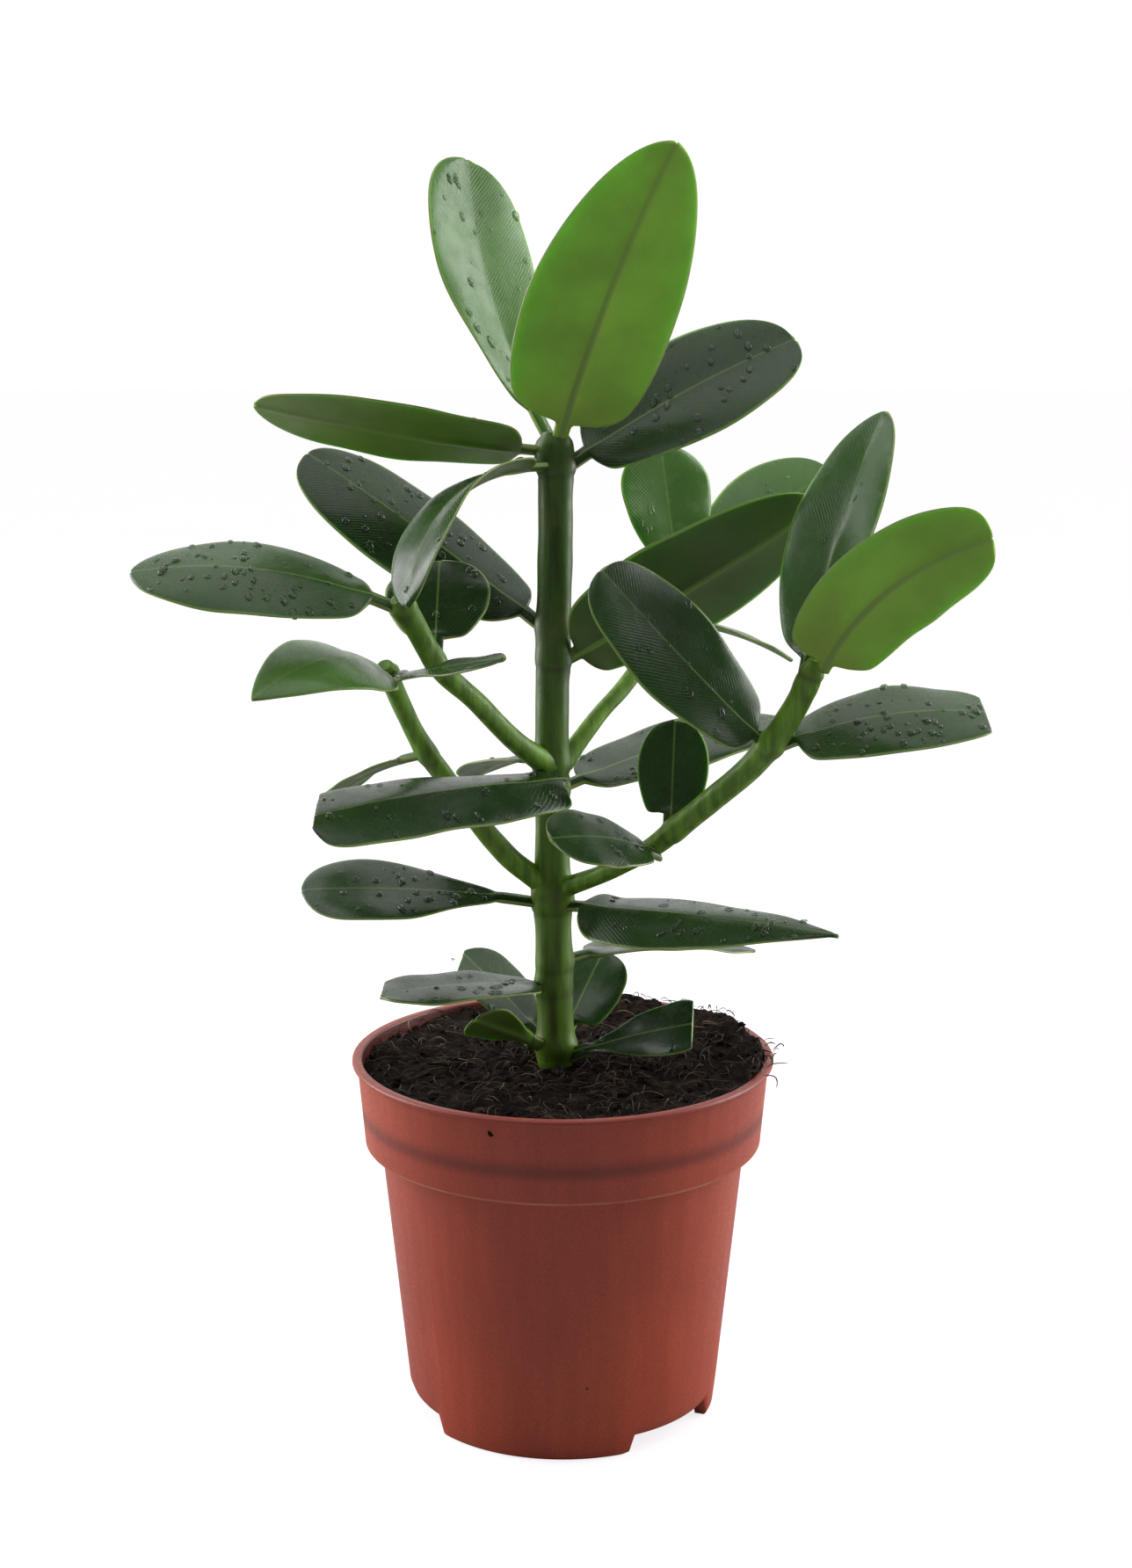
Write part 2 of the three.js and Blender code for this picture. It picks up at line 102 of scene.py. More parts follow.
# Each stem is a smooth curve through its points, in millimetres, with a radius at even steps.
STEMS = {
    "main_stem": {
        "points": [(-2, 0, 76), (-2, 0, 100), (-3, 0, 155), (-3, 0, 205), (-2, 0, 254), (-2, 0, 280)],
        "radii": [5.3, 5.2, 5.1, 4.6, 4.7, 4.8, 4.7],
        "rings": 170,
    },
    "branch_left_low": {
        "points": [(-4, -1, 153), (-15, -3, 162), (-27, -4, 177), (-40, -7, 197), (-46, -14, 212),
                   (-48, -19, 219)],
        "radii": [3.2, 3.0, 2.8, 2.6, 2.8],
        "rings": 70,
    },
    "branch_left_high": {
        "points": [(-4, -2, 188), (-13, -9, 196), (-24, -17, 209), (-33, -24, 219), (-39, -30, 231),
                   (-43, -34, 239)],
        "radii": [3.4, 2.8, 2.8, 3.0, 3.4],
        "rings": 70,
    },
    "branch_right_high": {
        "points": [(0, 2, 188), (10, 10, 200), (19, 18, 209), (28, 28, 223), (35, 36, 236)],
        "radii": [2.6, 2.3, 2.3, 2.4],
        "rings": 60,
    },
    "branch_right_low": {
        "points": [(0, -2, 153), (10, -8, 158), (24, -14, 167), (38, -20, 180), (52, -26, 194),
                   (61, -30, 208), (67, -32, 222)],
        "radii": [2.6, 2.5, 3.2, 3.4, 3.4, 3.2],
        "rings": 90,
    },
}

# One leaf a row. It grows `on` a stem, that far along it, or `from` a point; `to` is its tip.
# arch and sweep bow the midrib, roll turns the blade about it, fold raises its halves, base and
# end set how blunt its ends are, and young runs from 0, a dark old leaf, to 1, a fresh green one.
LEAVES = {
    "crown_front_leaf": {"stem": "main_stem", "from": (-1, -2.4, 278), "to": (29, -28, 355),
        "width": 42, "base": 0.3, "end": 0.55, "arch": 0.03, "sweep": 0.015, "roll": -40,
        "fold": 8, "petiole": 5, "young": 1.0, "drops": 6},
    "crown_back_leaf": {"stem": "main_stem", "from": (-3.6, 2.6, 278), "to": (-27, 35, 353),
        "width": 38, "base": 0.75, "end": 0.43, "arch": -0.03, "sweep": -0.045, "roll": 10,
        "fold": 10, "petiole": 8, "young": 0.75, "drops": 34},
    "crown_right_leaf": {"stem": "main_stem", "on": 0.955, "to": (64, 15, 304), "width": 35,
        "base": 0.45, "end": 0.42, "arch": 0.05, "roll": 45, "fold": 8, "young": 0.1, "drops": 40},
    "crown_left_leaf": {"stem": "main_stem", "on": 0.975, "to": (-82, -12, 288), "width": 38,
        "base": 0.36, "end": 0.42, "arch": -0.02, "roll": 26, "fold": 4, "young": 0.45,
        "drops": 44},
    "crown_front_left_leaf": {"stem": "main_stem", "on": 0.955, "to": (-40, -50, 239),
        "width": 26, "base": 0.4, "end": 0.5, "arch": 0.17, "roll": 22, "fold": 12,
        "young": 0.15, "drops": 6},
    "middle_left_leaf": {"stem": "main_stem", "on": 0.739, "to": (-72, 25, 272), "width": 34,
        "base": 0.42, "end": 0.36, "arch": 0.02, "roll": -28, "fold": -12, "young": 0.0,
        "drops": 60},
    "middle_right_leaf": {"stem": "main_stem", "on": 0.695, "to": (70, -6, 261), "width": 36,
        "base": 0.35, "end": 0.5, "arch": -0.02, "roll": -58, "fold": 14, "petiole": 4,
        "young": 0.15, "drops": 14},
    "branching_left_leaf": {"stem": "main_stem", "to": (-66, -58, 185), "width": 29,
        "base": 0.25, "end": 0.14, "arch": 0.03, "roll": -20, "fold": -20, "petiole": 3,
        "young": 0.05, "drops": 26, "from": (1, -8, 184.5), "trim": ((-64, 0, 0), (-1, 0, 0)), "lobe": 9},
    "branching_right_leaf": {"stem": "main_stem", "on": 0.515, "to": (64, 38, 194), "width": 32,
        "base": 0.4, "end": 0.4, "arch": 0.03, "roll": 10, "fold": 0, "young": 0.05,
        "drops": 26},
    "branching_back_leaf": {"stem": "main_stem", "on": 0.548, "to": (-25, 45, 176), "width": 26,
        "base": 0.6, "end": 0.5, "arch": 0.06, "roll": -5, "fold": 6, "young": 0.1, "drops": 8},
    "low_left_leaf": {"stem": "main_stem", "on": 0.355, "to": (-72, -12, 154.5), "width": 33,
        "base": 1.1, "end": 0.45, "arch": 0.03, "roll": -18, "fold": 2, "petiole": 10,
        "young": 0.05, "drops": 34},
    "low_right_leaf": {"stem": "main_stem", "on": 0.352, "to": (73, -45, 150.5), "width": 28,
        "base": 0.42, "end": 1.0, "arch": 0.015, "roll": 18, "fold": -20, "young": 0.1,
        "drops": 36},
    "lowest_left_leaf": {"stem": "main_stem", "on": 0.238, "to": (-50, -30, 129.5), "width": 25,
        "base": 0.35, "end": 0.3, "arch": 0.03, "roll": -4, "fold": 2, "petiole": 3,
        "young": 0.05, "drops": 18, "trim": ((-49.5, 0, 129.5), (-0.9, 0, 0.35))},
    "lowest_right_leaf": {"stem": "main_stem", "on": 0.27, "to": (56, 30, 126), "width": 24,
        "base": 0.5, "end": 0.5, "arch": 0.06, "roll": 0, "fold": 6, "young": 0.05, "drops": 14},
    "soil_left_back_leaf": {"stem": "main_stem", "on": 0.15, "to": (-30, 24, 127), "width": 26,
        "base": 0.6, "end": 0.3, "arch": 0.02, "roll": 0, "fold": 6, "young": 0.1, "drops": 4,
        "trim": ((-29, 0, 127), (-0.85, 0, 0.5))},
    "soil_right_back_leaf": {"stem": "main_stem", "on": 0.15, "to": (12, 24, 127), "width": 25,
        "base": 0.4, "end": 0.45, "arch": 0.02, "roll": 0, "fold": 6, "young": 0.1, "drops": 0},
    "soil_left_front_leaf": {"stem": "main_stem", "on": 0.15, "to": (-24, -20, 120), "width": 15,
        "base": 1.0, "end": 0.3, "arch": 0.02, "roll": 45, "fold": 2, "young": 0.35, "drops": 0},
    "soil_right_front_leaf": {"stem": "main_stem", "on": 0.135, "to": (38, -19, 118.5), "width": 18,
        "base": 1.1, "end": 0.25, "arch": 0.04, "roll": 45, "fold": 2, "young": 0.0, "drops": 3,
        "trim": ((36, 0, 117), (1, 0, -0.1))},
    "left_low_tip_leaf": {"stem": "branch_left_low", "on": 0.98, "to": (-79, -58, 216),
        "width": 30, "base": 0.4, "end": 0.8, "arch": 0.16, "sweep": 0, "roll": -22, "fold": -8,
        "petiole": 3, "young": 0.75, "drops": 0},
    "left_low_small_leaf": {"stem": "branch_left_low", "on": 0.95, "to": (-15, -54, 226),
        "width": 11, "base": 1.5, "end": 0.5, "arch": 0.03, "sweep": 0.08, "roll": 22, "fold": 5,
        "young": 0.2, "drops": 0},
    "left_low_inner_leaf": {"stem": "branch_left_low", "on": 0.62, "to": (-67, 10, 175),
        "width": 20, "base": 0.6, "end": 0.5, "arch": 0.06, "roll": 0, "fold": 5, "young": 0.2,
        "drops": 4},
    "left_high_tip_leaf": {"stem": "branch_left_high", "on": 0.97, "to": (-112, -38, 246),
        "width": 33, "base": 0.55, "end": 0.5, "arch": 0.09, "roll": -28, "fold": -12,
        "young": 0.25, "drops": 60},
    "left_high_round_leaf": {"stem": "branch_left_high", "on": 0.7, "to": (-34, 5, 244),
        "width": 29, "base": 0.5, "end": 0.42, "arch": 0.02, "roll": 0, "fold": 5, "young": 0.05,
        "drops": 10},
    "right_high_left_leaf": {"stem": "branch_right_high", "on": 0.97, "to": (28, 43, 273),
        "width": 31, "base": 0.6, "end": 0.42, "arch": 0, "roll": 0, "fold": 6, "young": 0.7,
        "drops": 6},
    "right_high_right_leaf": {"stem": "branch_right_high", "on": 0.95, "to": (80, 63, 264),
        "width": 32, "base": 0.6, "end": 0.42, "arch": 0.08, "roll": 40, "fold": 0, "young": 0.6,
        "drops": 12},
    "right_high_low_leaf": {"stem": "branch_right_high", "on": 0.8, "to": (67, 40, 211),
        "width": 14, "base": 0.7, "end": 0.9, "arch": 0.06, "roll": 0, "fold": 6, "young": 0.3,
        "drops": 0},
    "right_low_tip_leaf": {"stem": "branch_right_low", "on": 0.98, "to": (110, -46, 256),
        "width": 32, "base": 0.24, "end": 0.27, "arch": 0, "sweep": 0.12, "roll": -60, "fold": 5,
        "petiole": 3, "young": 0.95, "drops": 0},
    "right_low_back_leaf": {"stem": "branch_right_low", "on": 0.93, "to": (86, -12, 286),
        "width": 33, "base": 0.55, "end": 0.6, "arch": 0.04, "roll": 0, "fold": 20,
        "young": 0.35, "drops": 4},
    "right_low_front_leaf": {"stem": "branch_right_low", "on": 0.74, "to": (10, -34, 246),
        "width": 31, "base": 0.45, "end": 0.36, "arch": 0.03, "sweep": -0.03, "roll": -55,
        "fold": 3, "petiole": 3, "young": 0.1, "drops": 12},
    "right_low_side_leaf": {"stem": "branch_right_low", "on": 0.75, "to": (116, -26, 206.5),
        "width": 34, "base": 0.36, "end": 0.35, "arch": 0.08, "roll": 20, "fold": -4,
        "petiole": 5, "young": 0.2, "drops": 60, "trim": ((113.5, 0, 203), (1, 0, 0.1))},
    "right_low_upright_leaf": {"stem": "branch_right_low", "on": 0.38, "to": (31, -5, 201),
        "width": 20, "base": 0.4, "end": 0.4, "arch": 0, "roll": 0, "fold": 6, "petiole": 3,
        "young": 0.15, "drops": 0},
    "right_low_inner_leaf": {"stem": "branch_right_low", "from": (26.4, -16.4, 165.4),
        "to": (-3, -38, 175), "width": 25, "base": 0.6, "end": 0.42, "arch": 0.08, "roll": -28,
        "fold": 0, "petiole": 5, "young": 0.1, "drops": 8},
}

PATH_STEPS = 200


# ---------------------------------------------------------------- settings


class PotSettings(bpy.types.PropertyGroup):
    """Sizes and colour of the nursery pot."""

    height: bpy.props.FloatProperty(
        name="Height", description="From the feet to the rim", default=0.104, unit="LENGTH")
    rim_radius: bpy.props.FloatProperty(
        name="Rim Radius", description="Outer radius of the rim's bead", default=0.060,
        unit="LENGTH")
    colour: bpy.props.FloatVectorProperty(
        name="Colour", description="Colour of the moulded plastic", subtype="COLOR", size=4,
        min=0, max=1, default=(0.60, 0.098, 0.045, 1))
    sides: bpy.props.IntProperty(
        name="Sides", description="Faces around the pot", default=144, min=36)


class SoilSettings(bpy.types.PropertyGroup):
    """Shape and colour of the potting soil."""

    level: bpy.props.FloatProperty(
        name="Level", description="Height of the soil at the wall", default=0.100, unit="LENGTH")
    crown: bpy.props.FloatProperty(
        name="Crown", description="Extra height at the stem", default=0.0016, unit="LENGTH")
    colour: bpy.props.FloatVectorProperty(
        name="Colour", description="Colour of damp soil", subtype="COLOR", size=4, min=0, max=1,
        default=(0.010, 0.0065, 0.0055, 1))
    crumbs: bpy.props.IntProperty(
        name="Crumbs", description="Loose crumbs on the soil", default=420, min=0)
    fibres: bpy.props.IntProperty(
        name="Fibres", description="Loose fibres and rootlets on the soil", default=760, min=0)


class StemSettings(bpy.types.PropertyGroup):
    """Shape and colours of the stems."""

    sides: bpy.props.IntProperty(
        name="Sides", description="Faces around a stem", default=28, min=8)
    low_colour: bpy.props.FloatVectorProperty(
        name="Low Colour", description="Colour near the soil", subtype="COLOR", size=4, min=0,
        max=1, default=(0.11, 0.22, 0.014, 1))
    high_colour: bpy.props.FloatVectorProperty(
        name="High Colour", description="Colour near the crown", subtype="COLOR", size=4, min=0,
        max=1, default=(0.050, 0.115, 0.012, 1))


class LeafSettings(bpy.types.PropertyGroup):
    """Colours of the leaves."""

    old_upper: bpy.props.FloatVectorProperty(
        name="Old Upper Side", description="Upper side of an old leaf", subtype="COLOR", size=4,
        min=0, max=1, default=(0.021, 0.052, 0.016, 1))
    young_upper: bpy.props.FloatVectorProperty(
        name="Young Upper Side", description="Upper side of a young leaf", subtype="COLOR",
        size=4, min=0, max=1, default=(0.13, 0.29, 0.055, 1))
    old_under: bpy.props.FloatVectorProperty(
        name="Old Underside", description="Underside of an old leaf", subtype="COLOR", size=4,
        min=0, max=1, default=(0.052, 0.10, 0.030, 1))
    young_under: bpy.props.FloatVectorProperty(
        name="Young Underside", description="Underside of a young leaf", subtype="COLOR",
        size=4, min=0, max=1, default=(0.36, 0.56, 0.075, 1))


class DropSettings(bpy.types.PropertyGroup):
    """Water drops left by a spray."""

    radius: bpy.props.FloatProperty(
        name="Radius", description="Usual radius of a drop", default=0.0008, unit="LENGTH")


class StageSettings(bpy.types.PropertyGroup):
    """The floor and the light."""

    floor_size: bpy.props.FloatProperty(
        name="Floor Size", description="Side of the floor", default=12.0, unit="LENGTH")
    light: bpy.props.FloatProperty(
        name="Light", description="Strength of the surrounding light", default=1.0, min=0)


# ---------------------------------------------------------------- modelling helpers


def start_fresh():
    """Leaves nothing selected, so that an operator acts only on what comes next."""
    if bpy.context.object and bpy.context.object.mode != "OBJECT":
        bpy.ops.object.mode_set(mode="OBJECT")
    bpy.ops.object.select_all(action="DESELECT")


def pick(piece):
    """Leaves only this piece selected, and active."""
    start_fresh()
    bpy.context.view_layer.objects.active = piece
    piece.select_set(True)


def name_piece(piece, name):
    piece.name = name
    piece.data.name = name


def grid_piece(name, columns, rows, place):
    """A grid laid where `place` says, given across from -1 to 1 and along from 0 to 1."""
    start_fresh()
    bpy.ops.mesh.primitive_grid_add(x_subdivisions=columns, y_subdivisions=rows, size=2)
    piece = bpy.context.object
    name_piece(piece, name)
    for vertex in piece.data.vertices:
        vertex.co = place(vertex.co.x, (vertex.co.y + 1) / 2)
    return piece


def close_up(piece, distance=2e-6):
    """Merges seams and poles, fills open ends and turns the faces outwards."""
    pick(piece)
    bpy.ops.object.mode_set(mode="EDIT")
    bpy.ops.mesh.select_all(action="SELECT")
    bpy.ops.mesh.remove_doubles(threshold=distance)
    bpy.ops.mesh.select_all(action="DESELECT")
    bpy.ops.mesh.select_mode(type="VERT")
    bpy.ops.mesh.select_non_manifold()
    piece.update_from_editmode()
    if any(vertex.select for vertex in piece.data.vertices):
        bpy.ops.mesh.fill_holes(sides=0)
    bpy.ops.mesh.select_all(action="SELECT")
    bpy.ops.mesh.normals_make_consistent(inside=False)
    bpy.ops.object.mode_set(mode="OBJECT")


def apply_modifier(piece, kind, **values):
    """Adds a modifier with these values and applies it."""
    pick(piece)
    modifier = piece.modifiers.new(kind.title(), kind)
    for key, value in values.items():
        setattr(modifier, key, value)
    bpy.ops.object.modifier_apply(modifier=modifier.name)


def smooth(piece, angle=None):
    pick(piece)
    if angle is None:
        bpy.ops.object.shade_smooth()
    else:
        bpy.ops.object.shade_smooth_by_angle(angle=math.radians(angle))


def join_pieces(name, parts):
    """Joins the parts into one piece."""
    start_fresh()
    for part in parts:
        part.select_set(True)
    bpy.context.view_layer.objects.active = parts[0]
    bpy.ops.object.join()
    name_piece(parts[0], name)
    return parts[0]


def copy_of(model, matrix):
    """A copy of the model with its own mesh, moved by the matrix."""
    copy = model.copy()
    copy.data = model.data.copy()
    copy.data.transform(matrix)
    bpy.context.collection.objects.link(copy)
    return copy


def ride_on_plant(piece, slot, *nodes):
    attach(piece, "root")
    if nodes:
        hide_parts(*nodes)


def blend_value(low, high, share):
    return low + (high - low) * share


def ease(low, high, value):
    share = min(1.0, max(0.0, (value - low) / (high - low)))
    return share * share * (3 - 2 * share)


# ---------------------------------------------------------------- curves and leaf shape


def smooth_path(points):
    """Evenly spaced points of a smooth curve through the given ones."""
    ends = [2 * points[0] - points[1], *points, 2 * points[-1] - points[-2]]
    fine = []
    for i in range(len(points) - 1):
        before, start, end, after = ends[i:i + 4]
        gaps = [math.sqrt((b - a).length) for a, b in ((before, start), (start, end), (end, after))]
        leave = ((start - before) / gaps[0] - (end - before) / (gaps[0] + gaps[1])
                 + (end - start) / gaps[1]) * gaps[1]
        arrive = ((end - start) / gaps[1] - (after - start) / (gaps[1] + gaps[2])
                  + (after - end) / gaps[2]) * gaps[1]
        for k in range(40):
            t = k / 40
            fine.append(start + leave * t + (3 * (end - start) - 2 * leave - arrive) * t ** 2
                        + (2 * (start - end) + leave + arrive) * t ** 3)
    fine.append(points[-1])
    lengths = [0.0]
    for a, b in zip(fine, fine[1:]):
        lengths.append(lengths[-1] + (b - a).length)
    even = []
    at = 0
    for k in range(PATH_STEPS + 1):
        wanted = lengths[-1] * k / PATH_STEPS
        while at < len(fine) - 2 and lengths[at + 1] < wanted:
            at += 1
        share = (wanted - lengths[at]) / (lengths[at + 1] - lengths[at])
        even.append(fine[at].lerp(fine[at + 1], share))
    return even


def on_path(path, along):
    """The point and direction at `along`, from 0 to 1."""
    place = min(max(along, 0.0), 1.0) * (len(path) - 1)
    step = min(int(place), len(path) - 2)
    low = max(step - 1, 0)
    high = min(step + 2, len(path) - 1)
    return path[step].lerp(path[step + 1], place - step), (path[high] - path[low]).normalized()


def value_along(values, along):
    place = min(max(along, 0.0), 1.0) * (len(values) - 1)
    step = min(int(place), len(values) - 2)
    return blend_value(values[step], values[step + 1], place - step)


PATHS = {
    name: smooth_path([Vector(point) * MM for point in stem["points"]])
    for name, stem in STEMS.items()
}

PETIOLE_HALF = 2.2 * MM
LEAF_THICKNESS = 1.0 * MM
FOLD_FADE = 0.45  # share of the fold that is gone at the tip
STALK_ROWS = 0.07  # share of the grid's rows that lie on the stalk
PETIOLE_THICKNESS = 2.6 * MM
EDGE_THICKNESS = 0.55 * MM
USUAL_PETIOLE = 6


class LeafForm:
    """The surface of one leaf, from its row in LEAVES."""

    def __init__(self, name, row):
        self.name = name
        self.row = row
        self.seed = sum(ord(letter) for letter in name) * 0.37
        self.tip = Vector(row["to"]) * MM
        self.base = self.find_base()
        chord = self.tip - self.base
        self.length = chord.length
        forward = chord.normalized()
        level = (Vector((0, 0, 1)) - forward * forward.z).normalized()
        across = forward.cross(level)
        roll = math.radians(row["roll"])
        self.up = level * math.cos(roll) + across * math.sin(roll)
        side = forward.cross(self.up)
        self.control = (self.base + chord * 0.5 + self.up * (2 * row["arch"] * self.length)
                        + side * (2 * row.get("sweep", 0) * self.length))
        self.petiole = row.get("petiole", USUAL_PETIOLE) * MM / self.length

    def find_base(self):
        if "from" in self.row:
            return Vector(self.row["from"]) * MM
        stem = STEMS[self.row["stem"]]
        centre, direction = on_path(PATHS[self.row["stem"]], self.row["on"])
        outward = self.tip - centre
        outward = (outward - direction * outward.dot(direction)).normalized()
        return centre + outward * (value_along(stem["radii"], self.row["on"]) - 1) * MM

    def blade(self, along):
        return (along - self.petiole) / (1 - self.petiole)

    def half_width(self, along):
        if along <= self.petiole:
            return PETIOLE_HALF
        blade = min(self.blade(along), 1.0)
        base, end = self.row["base"], self.row["end"]
        widest = base / (base + end)
        share = (blade ** base * (1 - blade) ** end) / (widest ** base * (1 - widest) ** end)
        return max(PETIOLE_HALF * (1 - blade), self.row["width"] * MM / 2 * share, 0.3 * MM)

    def ridge(self, distance, along):
        """How far the midrib stands out of the underside."""
        return 0.9 * MM * (1 - 0.75 * along) * math.exp(-(distance / (1.2 * MM)) ** 2)

    def place(self, across, along):
        """The point at `across`, from -1 to 1, and `along`, from 0 at the base to 1."""
        rest = 1 - along
        centre = (self.base * rest ** 2 + self.control * (2 * along * rest)
                  + self.tip * along ** 2)
        tangent = ((self.control - self.base) * rest + (self.tip - self.control) * along)
        tangent.normalize()
        normal = (self.up - tangent * self.up.dot(tangent)).normalized()
        right = tangent.cross(normal)
        half = self.half_width(along)
        out = abs(across) * half
        open_up = ease(0, 0.12, self.blade(along))
        rise = math.radians(self.row["fold"] * (1 - FOLD_FADE * along)) * open_up
        soft = 1.6 * MM
        height = (math.sqrt(out ** 2 + soft ** 2) - soft) * math.sin(rise)
        height -= 0.5 * self.ridge(out, along) * open_up
        reach = self.row.get("lobe", 3) * MM * (1 - ease(0, 0.3, self.blade(along))) * open_up
        centre = centre - tangent * reach * abs(across) ** 1.5
        wave = noise.noise(Vector((along * 4.5, across * 0.9, self.seed)))
        height += 1.1 * MM * wave * across ** 2 * open_up
        height -= self.row.get("droop", 0.03) * half * across ** 4 * open_up
        return centre + right * math.copysign(out * math.cos(rise), across) + normal * height

    def thickness(self, across, along):
        open_up = ease(0, 0.12, self.blade(along))
        out = abs(across) * self.half_width(along)
        stalk = blend_value(PETIOLE_THICKNESS, 1.2 * MM, abs(across) ** 2)
        blade = blend_value(LEAF_THICKNESS, EDGE_THICKNESS, abs(across) ** 4) + self.ridge(out, along)
        return blend_value(stalk, blade, open_up)

    def spread(self, across, along):
        """Grid places moved closer together at the midrib and at both ends."""
        if along < STALK_ROWS:
            at = self.petiole * along / STALK_ROWS
        else:
            share = (1 - math.cos(math.pi * (along - STALK_ROWS) / (1 - STALK_ROWS))) / 2
            at = self.petiole + (1 - self.petiole) * share
        return math.copysign(abs(across) ** 1.35, across), at

    def surface(self, across, along):
        """The point and normal of the upper side."""
        step = 0.01
        point = self.place(across, along)
        ahead = self.place(across, along + step) - self.place(across, along - step)
        aside = self.place(across + step, along) - self.place(across - step, along)
        normal = aside.cross(ahead).normalized()
        return point + normal * self.thickness(across, along) / 2, normal


FORMS = {name: LeafForm(name, row) for name, row in LEAVES.items()}


# ---------------------------------------------------------------- material helpers


class Finish:
    """A material under construction: nodes are added and linked in a few words."""

    def __init__(self, name):
        self.material = bpy.data.materials.new(name)
        self.material.use_nodes = True
        self.tree = self.material.node_tree
        self.shader = self.tree.nodes["Principled BSDF"]
        self.column = -300

    def node(self, kind, **values):
        made = self.tree.nodes.new(kind)
        made.location = (self.column, 0)
        self.column -= 180
        for key, value in values.items():
            setattr(made, key, value)
        return made

    def feed(self, socket, source):
        """Links a node's output to a socket, or sets the socket's value."""
        if isinstance(source, bpy.types.NodeSocket):
            self.tree.links.new(source, socket)
        else:
            socket.default_value = source

    def maths(self, operation, *values):
        made = self.node("ShaderNodeMath", operation=operation)
        for socket, value in zip(made.inputs, values):
            self.feed(socket, value)
        return made.outputs[0]

    def times(self, first, second):
        return self.maths("MULTIPLY", first, second)

    def shaded(self, colour, value, low, high, start, stop):
        """Multiplies the colour by start to stop as the value goes from low to high."""
        return self.mixed(1.0, colour, self.between(value, low, high, start, stop), "MULTIPLY")

    def axes(self, source):
        """The three parts of a place, as outputs."""
        made = self.node("ShaderNodeSeparateXYZ")
        self.feed(made.inputs[0], source)
        return made.outputs

    def between(self, value, low, high, start=0.0, stop=1.0):
        """Eases from start to stop as the value goes from low to high."""
        made = self.node("ShaderNodeMapRange", interpolation_type="SMOOTHSTEP")
        self.feed(made.inputs["Value"], value)
        self.feed(made.inputs["From Min"], low)
        self.feed(made.inputs["From Max"], high)
        self.feed(made.inputs["To Min"], start)
        self.feed(made.inputs["To Max"], stop)
        return made.outputs["Result"]

    def mixed(self, share, first, second, blend="MIX"):
        made = self.node("ShaderNodeMix", data_type="RGBA", blend_type=blend)
        self.feed(made.inputs["Factor"], share)
        self.feed(made.inputs[6], first)
        self.feed(made.inputs[7], second)
        return made.outputs[2]

    def place(self):
        return self.node("ShaderNodeTexCoord").outputs["Object"]

    def stretched(self, source, scale):
        made = self.node("ShaderNodeMapping")
        self.feed(made.inputs["Vector"], source)
        made.inputs["Scale"].default_value = scale
        return made.outputs["Vector"]

    def grain(self, source, scale, detail=3.0, roughness=0.5, distortion=0.0):
        made = self.node("ShaderNodeTexNoise")
        self.feed(made.inputs["Vector"], source)
        made.inputs["Scale"].default_value = scale
        made.inputs["Detail"].default_value = detail
        made.inputs["Roughness"].default_value = roughness
        made.inputs["Distortion"].default_value = distortion
        return made.outputs["Fac"]

    def cells(self, source, scale):
        made = self.node("ShaderNodeTexVoronoi")
        self.feed(made.inputs["Vector"], source)
        made.inputs["Scale"].default_value = scale
        return made.outputs["Distance"]

    def bump(self, height, strength, distance):
        made = self.node("ShaderNodeBump")
        self.feed(made.inputs["Height"], height)
        made.inputs["Strength"].default_value = strength
        made.inputs["Distance"].default_value = distance
        self.feed(self.shader.inputs["Normal"], made.outputs["Normal"])

    def set(self, **values):
        for key, value in values.items():
            self.feed(self.shader.inputs[key.replace("_", " ")], value)


